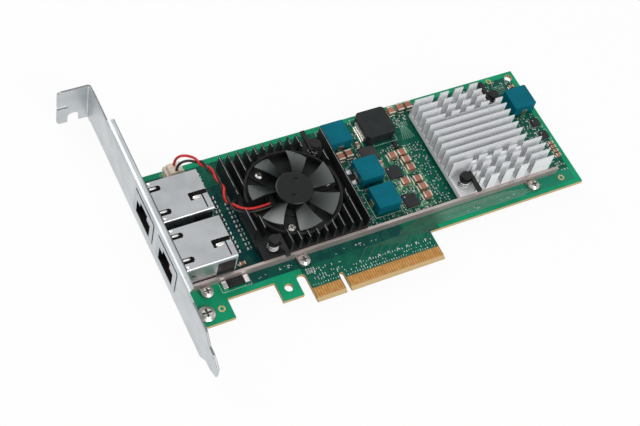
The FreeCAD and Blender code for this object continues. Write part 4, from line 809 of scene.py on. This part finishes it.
# %% Three trees: stamped parts, scattered parts and laid lines
def stamping_tree():
    """One template on every point, sized and turned by the point's own attributes."""
    grower = Grower("stamped_parts", Template="Object")
    size, turn = (grower.node("GeometryNodeInputNamedAttribute", settings={"data_type": kind}, Name=name)
                  for name, kind in (("size", "FLOAT_VECTOR"), ("turn", "FLOAT")))
    grower.stand(grower.given["Geometry"], size, turn)
    return grower


def scattering_tree():
    """A seeded share of the points keeps a part, shifted a little and turned by a quarter or not."""
    grower = Grower("scattered_parts", Template="Object", Size="Vector", Kept="Float", Shift="Float",
                    Seed="Int")
    given = grower.given

    def chance(kind, **limits):
        return grower.node("FunctionNodeRandomValue", settings={"data_type": kind}, Seed=given["Seed"],
                           **limits)

    push = grower.node("ShaderNodeVectorMath", settings={"operation": "SCALE"}, Scale=given["Shift"],
                       Vector=chance("FLOAT_VECTOR", Min=(-1, -1, 0), Max=(1, 1, 0)))
    spread = grower.node("GeometryNodeSetPosition", Geometry=given["Geometry"], Offset=push)
    turn = grower.node("ShaderNodeMath", settings={"operation": "MULTIPLY"}, Value1=QUARTER,
                       Value=chance("BOOLEAN", Probability=0.5))
    grower.stand(spread, given["Size"], turn, Selection=chance("BOOLEAN", Probability=given["Kept"]))
    return grower


def line_tree():
    """A flat strip along every chain of edges."""
    grower = Grower("laid_lines", Width="Float", Height="Float")
    given = grower.given
    path = grower.node("GeometryNodeMeshToCurve", Mesh=given["Geometry"])
    path = grower.node("GeometryNodeSetCurveNormal", settings={"mode": "Z_UP"}, Curve=path)
    profile = grower.node("GeometryNodeCurvePrimitiveQuadrilateral", Width=given["Width"],
                          Height=given["Height"])
    grower.finish(grower.node("GeometryNodeCurveToMesh", Curve=path, Profile_Curve=profile, Fill_Caps=True))
    return grower


QUARTER = math.pi / 2
STAMPER = stamping_tree()
SCATTERER = scattering_tree()
LINER = line_tree()
print("trees:", *(grower.tree.name for grower in (STAMPER, SCATTERER, LINER)))


# %% Small shapes that the trees copy
def template(name, build):
    """A small shape of unit size; it never reaches the scene."""
    work = bmesh.new()
    build(work)
    mesh = bpy.data.meshes.new(name)
    work.to_mesh(mesh)
    work.free()
    print(name, "has", len(mesh.polygons), "faces")
    return bpy.data.objects.new(name, mesh)


def brick(work):
    """A unit brick that stands on its base, with its top edges taken off."""
    bmesh.ops.create_cube(work, size=1.0, matrix=Matrix.Translation((0, 0, 0.5)))
    top = [edge for edge in work.edges if all(vert.co.z > 0.9 for vert in edge.verts)]
    bmesh.ops.bevel(work, geom=top, offset=0.07, segments=1, affect="EDGES")


def end_bands(share):
    """The two soldered ends of a part whose length is one unit along X; each covers a share of it."""
    def build(work):
        for side in (-1, 1):
            made = bmesh.ops.create_cube(work, size=1.0)["verts"]
            for vert in made:
                across = side * (0.51 - share / 2) + vert.co.x * share
                vert.co = Vector((across, vert.co.y * 1.05, 0.515 + vert.co.z * 1.03))
    return build


def washer(work):
    """A flat ring, one unit across and one high."""
    sides = 16
    rim = [[work.verts.new((radius * math.cos(turn), radius * math.sin(turn), z))
            for turn in (math.tau * k / sides for k in range(sides))]
           for radius, z in ((0.27, 0.0), (0.5, 0.0), (0.5, 1.0), (0.27, 1.0))]
    for ring, following in zip(rim, rim[1:] + rim[:1]):
        for k in range(sides):
            work.faces.new((ring[k - 1], ring[k], following[k], following[k - 1]))
    bmesh.ops.recalc_face_normals(work, faces=work.faces)


def dome(work):
    """A flattened drop of solder, one unit across and one high, closed underneath.

    It is laid ring by ring, because create_uvsphere numbers its corners differently from run to run.
    """
    sides = 8
    rings = [[work.verts.new((math.sin(lean) * math.cos(turn) / 2, math.sin(lean) * math.sin(turn) / 2,
                              max(math.cos(lean), 0.0)))
              for turn in (math.tau * k / sides for k in range(sides))]
             for lean in (math.pi * k / 6 for k in range(1, 6))]
    for ring, following in zip(rings, rings[1:]):
        for k in range(sides):
            work.faces.new((ring[k - 1], ring[k], following[k], following[k - 1]))
    for ring, height in ((rings[0], 1.0), (rings[-1], 0.0)):
        middle = work.verts.new((0, 0, height))
        for k in range(sides):
            work.faces.new((middle, ring[k - 1], ring[k]))
    bmesh.ops.recalc_face_normals(work, faces=work.faces)


BRICK = template("brick", brick)
NARROW_ENDS = template("narrow_ends", end_bands(0.17))
WIDE_ENDS = template("wide_ends", end_bands(0.27))
WASHER = template("washer", washer)
DOME = template("dome", dome)


# %% Rows of stamped parts and chains of laid ones
def point_mesh(rows):
    """Points with a size and a turn, from rows of centre, size and perhaps a turn, in millimetres."""
    mesh = bpy.data.meshes.new("spots")
    mesh.from_pydata([Vector(row[0]) * MM for row in rows], [], [])
    sizes = mesh.attributes.new("size", "FLOAT_VECTOR", "POINT")
    sizes.data.foreach_set("vector", [side * MM for row in rows for side in row[1]])
    turns = mesh.attributes.new("turn", "FLOAT", "POINT")
    turns.data.foreach_set("value", [sum(row[2:]) for row in rows])
    return mesh


def stamp(name, shape, finish, slot, rows):
    STAMPER.grow(name, point_mesh(rows), slot, finish, Template=shape)


def square(x, y, wide, high, level=0.0):
    """The row of a part that is as long as it is wide."""
    return ((x, y, level), (wide, wide, high))


def line_mesh(chains):
    """Chains of points joined by edges, in millimetres."""
    verts = []
    edges = []
    for chain in chains:
        edges += [(k, k + 1) for k in range(len(verts), len(verts) + len(chain) - 1)]
        verts += [Vector(point) * MM for point in chain]
    mesh = bpy.data.meshes.new("chains")
    mesh.from_pydata(verts, edges, [])
    return mesh


def lay(name, finish, slot, chains, width, height):
    LINER.grow(name, line_mesh(chains), slot, finish, Width=width * MM, Height=height * MM)


# %% [markdown]
# ## Soldered ends
#
# A chip capacitor or resistor is a fired block with a tinned band round each end. The CAD gives the
# blocks, so the bands are stamped over them: each block's box says where, how long and which way.

# %% Bands round every chip's ends
def lengthwise(low, high, proud=0.0):
    """A block's base centre, its size along, across and up, and its turn."""
    centre = (low + high) / 2
    size = high - low
    along_y = size.y > size.x
    long, wide = (size.y, size.x) if along_y else (size.x, size.y)
    return ((centre.x, centre.y, low.z), (long + proud, wide + proud, size.z + proud), QUARTER * along_y)


BANDED = ["ceramic_capacitors", "small_capacitors", "termination_resistors", "input_fuse", "sense_resistor"]
for name in BANDED:
    ends = [lengthwise(low, high, 0.03) for low, high in islands(name)]
    ceramic = name.endswith("capacitors")
    narrow = ceramic or name == "input_fuse"
    stamp(name + "_ends", NARROW_ENDS if narrow else WIDE_ENDS, BAND if ceramic else SPECK, "tin", ends)

# %% [markdown]
# ## Solder round the parts
#
# Solder shows wherever a part meets the board: as thin pads under the chips and as a row of points where
# the jacks' pins come up. Each kind is one small shape stamped on many points, and the points are worked
# out from the boxes of the CAD pieces, so the solder stays with its part.

# %% Pads under the chips and blocks
PAD_HIGH = 0.06
PAD_PITCH = 0.65
PAD_LONG = 0.7
PAD_WIDE = 0.3
MARKED_CHIPS = islands("regulator_chips") + islands("clock_chips")
ALL_CHIPS = MARKED_CHIPS + islands("power_stage_chip")


def chip_rows(low, high):
    """Pads that stick out from under a chip along all four sides."""
    centre = (low + high) / 2
    half = (high - low) / 2
    count = int((high.x - low.x - PAD_PITCH) / PAD_PITCH)
    shifts = [(k - count / 2) * PAD_PITCH for k in range(count + 1)]
    rows = []
    for side in (-1, 1):
        for shift in shifts:
            rows += [((centre.x + shift, centre.y + side * half.y, 0), (PAD_WIDE, PAD_LONG, PAD_HIGH)),
                     ((centre.x + side * half.x, centre.y + shift, 0), (PAD_LONG, PAD_WIDE, PAD_HIGH))]
    return rows


chip_pads = [row for low, high in ALL_CHIPS for row in chip_rows(low, high)]
low, high = islands("transistor")[0]
for across, share in ((-0.9, 0.3), (-0.9, 0.7), (0.9, 0.5)):
    leg = ((low.x + high.x) / 2 + across, low.y + (high.y - low.y) * share, 0)
    chip_pads.append((leg, (0.9, 0.5, 0.14)))
stamp("chip_pads", BRICK, TIN, "tin", chip_pads)

block_pads = []
for name, longer in zip(BANDED, (0.45, 0.4, 0.14)):
    for low, high in islands(name):
        centre, (long, wide, _), turn = lengthwise(low, high)
        block_pads.append((centre, (long + longer, wide + 0.1, PAD_HIGH), turn))
low, high = islands("choke_terminals")[0]
block_pads.append(((low.x - 0.45, (low.y + high.y) / 2, 0), (0.5, 7.2, 0.16)))
stamp("block_pads", BRICK, TIN, "tin", block_pads)

# %% Solder points behind the jacks
SHELLS = [box_mm("port_a_shell"), box_mm("port_b_shell")]
pin_points = []
for low, high in SHELLS:
    for k in range(9):
        up = low.y + 2.2 + 1.65 * k
        pin_points += [square(high.x + 1.3, up, 0.9, 0.5), square(high.x + 2.9, up + 0.8, 0.7, 0.35)]
stamp("jack_solder_points", DOME, TIN, "tin", pin_points)

# %% [markdown]
# ## The jacks' shells and mouths
#
# Each jack wears a folded tin shell. Springs are cut free in its roof and pushed up, so that each stands
# over a dark opening, and a thin plated sheet frames its stepped mouth. All of this could be cut from the
# solids, but it is nearly flat, so it is laid on them instead. Openings and frames are plates a few
# hundredths of a millimetre thick, the springs are low domes, and rows that follow each jack's own box
# stamp both jacks.

# %% Openings and spring tongues in the roofs
OPENING = moulding("shadowed_opening", (0.004, 0.004, 0.004), (0.010, 0.010, 0.009), 0.7, gloss=0.05)
OPENING_HIGH = 0.03
openings_and_shadow_line = []
tongues = []
for low, high in SHELLS:
    rear, side, roof = high
    # the row 19.15 back from the rear is no opening but a painted shadow of the gap at the bracket
    for back, up, long, wide in ((3.5, side - 10.05, 6.8, 1.6), (6.35, side - 11.3, 1.0, 2.0),
                                 (2.1, side - 13.7, 0.35, 5.8), (19.15, (low.y + side) / 2, 0.3, 17.2),
                                 (17.1, side - 3.55, 3.6, 2.0), (15.3, side - 3.55, 0.9, 1.4),
                                 (17.1, side - 13.7, 3.6, 2.0), (15.3, side - 13.7, 0.9, 1.4)):
        openings_and_shadow_line.append(((rear - back, up, roof), (long, wide, OPENING_HIGH)))
    for back, up, size in ((4.3, side - 11.5, (3.5, 1.5, 0.4)), (17.6, side - 3.3, (3.0, 0.9, 0.16)),
                           (17.6, side - 13.45, (3.0, 0.9, 0.16)), (18.2, side - 1.1, (1.5, 1.1, 0.35)),
                           (18.2, low.y + 1.3, (1.5, 1.1, 0.35))):
        tongues.append(((rear - back, up, roof), size))
stamp("shell_openings", BRICK, OPENING, "housing_black", openings_and_shadow_line)
stamp("shell_tongues", DOME, SPRING, "shell_steel", tongues)

# %% Plated frames round the mouths
MOUTH_WIDE, MOUTH_LOW, MOUTH_HIGH = 11.8, 1.6, 8.4
LATCH_WIDE, LATCH_HIGH = 6.0, 10.8
FRAME_THICK = 0.04
FRAME_LOW = 0.3
MOUTH_PLATE = rolled_steel("mouth_plate", (0.50, 0.53, 0.55), 0.4, (1, 3, 0.1), 0.02)
frames = []
for low, high in (box_mm("port_a_housing"), box_mm("port_b_housing")):
    front = low.x - FRAME_THICK / 2
    centre = (low.y + high.y) / 2
    cheek = (high.y - low.y - MOUTH_WIDE) / 2
    shoulder = (MOUTH_WIDE - LATCH_WIDE) / 2
    outer = (MOUTH_WIDE + cheek) / 2
    inner = (LATCH_WIDE + shoulder) / 2
    for shift, wide, bottom, top in ((-outer, cheek, FRAME_LOW, high.z), (outer, cheek, FRAME_LOW, high.z),
                                     (-inner, shoulder, MOUTH_HIGH, LATCH_HIGH),
                                     (inner, shoulder, MOUTH_HIGH, LATCH_HIGH),
                                     (0, MOUTH_WIDE, FRAME_LOW, MOUTH_LOW),
                                     (0, MOUTH_WIDE, LATCH_HIGH, high.z)):
        frames.append(((front, centre + shift, bottom), (FRAME_THICK, wide, top - bottom)))
stamp("port_frames", BRICK, MOUTH_PLATE, "shell_steel", frames)

# %% [markdown]
# ## Plated rims, copper runs and plated holes
#
# The mounting holes have plated rims. Copper runs leave the fingers in steps of 45 degrees, side by side,
# and end in plated holes. Each run is a chain of a few points, which one tree turns into a flat strip a
# few hundredths of a millimetre proud, so the light picks it out as it does under real lacquer.

# %% Rims round the mounting holes
RIM_HIGH = 0.05
HOLES = ((-45.9, 9.0, 2.6), (101.1, 16.2, 2.6), (96.8, 66.9, 2.4))
stamp("plated_rims", WASHER, PALE_GOLD, "gold", [square(*hole, RIM_HIGH) for hole in HOLES])

# %% Copper runs from the fingers
RUN_LIFT = 0.02
RUN_SPREAD = 3.9
# the right edge of the foot with the fingers, and the front edge of the board beside it
FOOT_RIGHT = 39.6
BOARD_FRONT = 12.0


def copper_finish():
    """Copper seen through lacquer, paler where the board is."""
    finish = Finish("lacquered_copper_run", (0.03, 0.19, 0.105), roughness=0.34, Specular_IOR_Level=0.2)
    grain = finish.noise(0.4, 2.0)
    left = finish.blend(grain, (0.03, 0.10, 0.07), (0.07, 0.15, 0.10))
    right = finish.blend(grain, (0.10, 0.26, 0.18), (0.20, 0.38, 0.28))
    finish.put(Base_Color=finish.blend(finish.axes()[0].ease(*BRIGHTENING), left, right))
    return finish


def finger_run(k):
    """One stepped run: up from its plated hole, along, up again and along under the bar."""
    start = Vector((8.8 + RUN_SPREAD * k, 9.5, RUN_LIFT))
    first = 13.9 - RUN_PITCH * k
    last = first + 2.1
    rise = first - start.y
    turn = max(27.4 + 0.35 * k, start.x + rise + 0.6)
    end = FOOT_RIGHT - 0.6 if last < BOARD_FRONT + 0.5 else 43.0 if last < 13.9 else 92.0 - 3 * k
    return [start, start + Vector((rise, rise, 0)), (turn, first, RUN_LIFT), (turn + 2.1, last, RUN_LIFT),
            (end, last, RUN_LIFT)]


def side_by_side(count, *corners):
    """Equal runs; each corner is x and its change from run to run, then y and its change."""
    return [[(x + dx * k, y + dy * k, RUN_LIFT) for x, dx, y, dy in corners] for k in range(count)]


finger_runs = [finger_run(k) for k in range(8)]
other_runs = (side_by_side(4, (31.0, 2.0, 16.6, 0.45), (84.0, -2.5, 16.6, 0.45))
              + side_by_side(6, (50.0, 0.75, 60.5, 0), (51.0, 0.5, 57.5, 0), (49.6, 1.0, 52.5, 0))
              + side_by_side(5, (96.5, 0, 60.0, 0.9), (102.0, 0, 60.0, 0.9)))
lay("copper_runs", copper_finish(), "board", finger_runs + other_runs, 0.36, 0.04)

# %% Plated holes and dashes beside the fingers
plated_holes = [(run[0], (0.7, 0.7, RIM_HIGH)) for run in finger_runs]
plated_holes += [square(-11.4 + 0.9 * (k % 4), 11.4 + 0.8 * (k // 4), 0.6, RIM_HIGH) for k in range(12)]
stamp("plated_holes", WASHER, SPECK, "tin", plated_holes)

random.seed(4)
dashes = []
for first, last, up, kept in ((2.2, FOOT_RIGHT, 6.2, 0.85), (2.2, FOOT_RIGHT, 7.5, 0.55),
                              (6.0, FOOT_RIGHT, 9.0, 0.75), (-11.6, -0.6, 6.3, 0.9), (-11.6, -1.0, 8.0, 0.6)):
    for k in range(int(last - first)):
        if random.random() < kept:
            spot = (first + k, up + random.uniform(-0.2, 0.2), 0)
            dashes.append((spot, (0.22, random.choice((0.35, 0.65)), RIM_HIGH)))
stamp("plated_dashes", BRICK, SPECK, "tin", dashes)

# %% [markdown]
# ## Printed outlines
#
# White ink marks where each part goes: a thin outline, a corner or a dot at pin one. The outlines are
# laid as strips a fiftieth of a millimetre high, round the boxes of the parts they belong to.

# %% Outlines in white ink
INK = Finish("white_ink", (0.72, 0.75, 0.72), roughness=0.6, Specular_IOR_Level=0.2)
INK.put(Base_Color=INK.blend(INK.noise(3.0, 2.0), (0.52, 0.60, 0.55), (0.82, 0.84, 0.82)))
INK_WIDE = 0.16
INK_HIGH = 0.02


def outline(low, high, gap):
    """A frame round a box."""
    left, right, bottom, top = low.x - gap, high.x + gap, low.y - gap, high.y + gap
    corners = [(left, bottom), (right, bottom), (right, top), (left, top), (left, bottom)]
    return [(x, y, INK_HIGH / 2) for x, y in corners]


def corner_marks(low, high, gap, long):
    """An angle at each corner of a box."""
    return [[(x + run, y, INK_HIGH / 2), (x, y, INK_HIGH / 2), (x, y + rise, INK_HIGH / 2)]
            for x, run in ((low.x - gap, long), (high.x + gap, -long))
            for y, rise in ((low.y - gap, long), (high.y + gap, -long))]


ink_lines = [outline(*box_mm("filter_choke"), 0.9), outline(*box_mm("fan_header"), 0.5)]
ink_lines += [outline(*box_mm(f"inductor_{letter}"), 0.8) for letter in "abc"]
ink_lines += [outline(*bit, 0.8) for bit in islands("input_fuse") + islands("sense_resistor")]
for chip in ALL_CHIPS:
    ink_lines += corner_marks(*chip, 0.8, 1.1)
for block in islands("ceramic_capacitors")[:8]:
    ink_lines += corner_marks(*block, 0.45, 0.6)
lay("printed_outlines", INK, "board", ink_lines, INK_WIDE, INK_HIGH)

# %% Dots at pin one and short strokes in the open
ink_dots = []
for low, high in MARKED_CHIPS:
    ink_dots += [square(low.x - 1.3, high.y + 0.4, 0.55, INK_HIGH),
                 square(low.x + 0.8, high.y - 0.8, 0.4, INK_HIGH, high.z)]
random.seed(11)
for left, right, bottom, top, count in ((-30, -8, 15.2, 17.2, 10), (0, 26, 15.2, 16.4, 9),
                                        (46, 84, 14.9, 15.8, 12)):
    for k in range(count):
        spot = (random.uniform(left, right), random.uniform(bottom, top), 0)
        ink_dots.append((spot, (random.choice((0.3, 0.8)), 0.3, INK_HIGH)))
stamp("printed_dots", BRICK, INK, "board", ink_dots)

# %% [markdown]
# ## The smallest parts
#
# Hundreds of parts a millimetre long fill the free board. A grid of points is laid over a region, the
# points near a CAD piece are dropped, and the scattering tree keeps a seeded share of the rest. Bodies
# and ends come from the same points and seed, so they always meet.

# %% Free grid points
SCATTER_GAP = 0.75
SHIFT = 0.27
GRID_PITCH = 1.15
WHOLE_BOXES = ["fan_header", "inductor_a", "inductor_b", "inductor_c", "inductor_d", "filter_choke",
               "bridge_chip", "controller_chip", "port_a_shell", "port_b_shell", "fan_heatsink",
               "aluminium_heatsink"]
SEPARATE_BITS = [*BANDED, "regulator_chips", "clock_chips", "power_stage_chip", "transistor",
                 "inductor_terminals", "choke_terminals", "stiffener_screws", "fan_sink_pins",
                 "cooler_pins", "bracket_screw"]
UNDER_BAR = (Vector((-56, 17.7)), Vector((101, 19.9)))
LEFT_HOLE = (Vector((-47.5, 7.5)), Vector((-44, 10.5)))
RIGHT_HOLE = (Vector((99, 14.4)), Vector((103, 18)))
BLOCKED = [*map(box_mm, WHOLE_BOXES), UNDER_BAR, LEFT_HOLE, RIGHT_HOLE]
for name in SEPARATE_BITS:
    BLOCKED += islands(name)


def is_free(x, y):
    return not any(low.x - SCATTER_GAP < x < high.x + SCATTER_GAP
                   and low.y - SCATTER_GAP < y < high.y + SCATTER_GAP for low, high in BLOCKED)


def free_points(*regions):
    """The free grid points of regions, each given by its left, right, low and high side."""
    spots = []
    for left, right, low, high in regions:
        for c in range(int((right - left) / GRID_PITCH)):
            for r in range(int((high - low) / GRID_PITCH)):
                x, y = left + GRID_PITCH * (c + 0.5), low + GRID_PITCH * (r + 0.5)
                if is_free(x, y):
                    spots.append((x, y, 0))
    return spots


DENSE = free_points((46.0, 56.0, 20.5, 51.0), (33.5, 46.0, 20.5, 34.0))
OPEN = free_points((16.8, 46.5, 20.5, 53.5), (97.0, 106.8, 17.5, 60.0), (-34.5, -30.5, 56.0, 64.5),
                   (30.0, 34.0, 54.0, 67.0), (47.0, 56.0, 58.0, 66.0), (-10.5, 3.0, 8.0, 13.0),
                   (44.5, 56.0, 61.0, 67.0), (84.0, 106.0, 61.5, 67.0))
random.seed(7)
random.shuffle(DENSE)
random.shuffle(OPEN)
print("free grid points:", len(DENSE), "dense and", len(OPEN), "open")


# %% Parts on the free points
def scatter(name, shape, finish, slot, spots, size, kept, seed):
    SCATTERER.grow(name, line_mesh([[spot] for spot in spots]), slot, finish, Template=shape,
                   Size=[side * MM for side in size], Kept=kept, Shift=SHIFT * MM, Seed=seed)


def populate(name, finish, slot, spots, kept, seed):
    """Bodies and soldered ends on the same points."""
    scatter(name + "_bodies", BRICK, finish, slot, spots, CHIP_SIZE, kept, seed)
    scatter(name + "_ends", WIDE_ENDS, SPECK, "tin", spots, [s + 0.02 for s in CHIP_SIZE], kept, seed)


SAND = moulding("sandy_ceramic", (0.36, 0.24, 0.14), (0.56, 0.42, 0.28), 0.4, 2.0, 0.005, 0.05)
CHIP_SIZE = (0.62, 0.34, 0.3)
populate("tan_chips", SAND, "ceramic", DENSE[::4] + OPEN[::9], 0.65, 3)
populate("black_chips", GLAZE, "resistor_black", DENSE[1::4] + OPEN[1::3], 0.55, 5)
populate("brown_chips", CERAMIC, "ceramic", OPEN[2::9], 0.6, 8)
scatter("solder_specks", DOME, SPECK, "tin", DENSE[2::4] + OPEN[3::9], (0.4, 0.4, 0.2), 0.7, 9)
scatter("test_points", WASHER, SPECK, "tin", DENSE[3::4] + OPEN[5::9], (0.6, 0.6, RIM_HIGH), 0.6, 12)
scatter("ink_specks", BRICK, INK, "board", OPEN[6::9], (0.9, 0.22, INK_HIGH), 0.9, 14)

# %% [markdown]
# ## The underside
#
# Pins pass through the board and are soldered below: the jacks' pins and shell tabs, and the fan
# header's two. A drop of solder hangs round each, so the same dome is stamped there upside down.

# %% Solder drops below the board
def hanging(work):
    """The same drop of solder, upside down."""
    dome(work)
    bmesh.ops.scale(work, verts=work.verts, vec=(1, 1, -1))
    bmesh.ops.recalc_face_normals(work, faces=work.faces)


DROP = template("drop", hanging)
drops = []
for low, high in SHELLS:
    middle = (low.y + high.y) / 2
    drops += [square(high.x - 6.0 - 2.5 * (k % 2), middle + 1.02 * (k - 3.5), 1.3, 0.7, BOARD_LOW.z)
              for k in range(8)]
    drops += [square(x, y, 2.2, 0.9, BOARD_LOW.z) for x in (high.x - 1.6, high.x - 13.0)
              for y in (low.y + 0.9, high.y - 0.9)]
drops += [square(-41.2, up, 1.5, 0.8, BOARD_LOW.z) for up in PINS]
stamp("solder_drops", DROP, TIN, "tin", drops)
print("solder drops below the board:", len(drops))

# %% [markdown]
# ## The size of the dressed card
#
# The dressed card has to stay the size of the CAD card.

# %% Print both sizes
FINAL_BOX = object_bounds()
for label, (low, high) in (("CAD", CAD_BOX), ("dressed", FINAL_BOX)):
    print(label, "size, mm:", [round(v / MM, 2) for v in high - low])
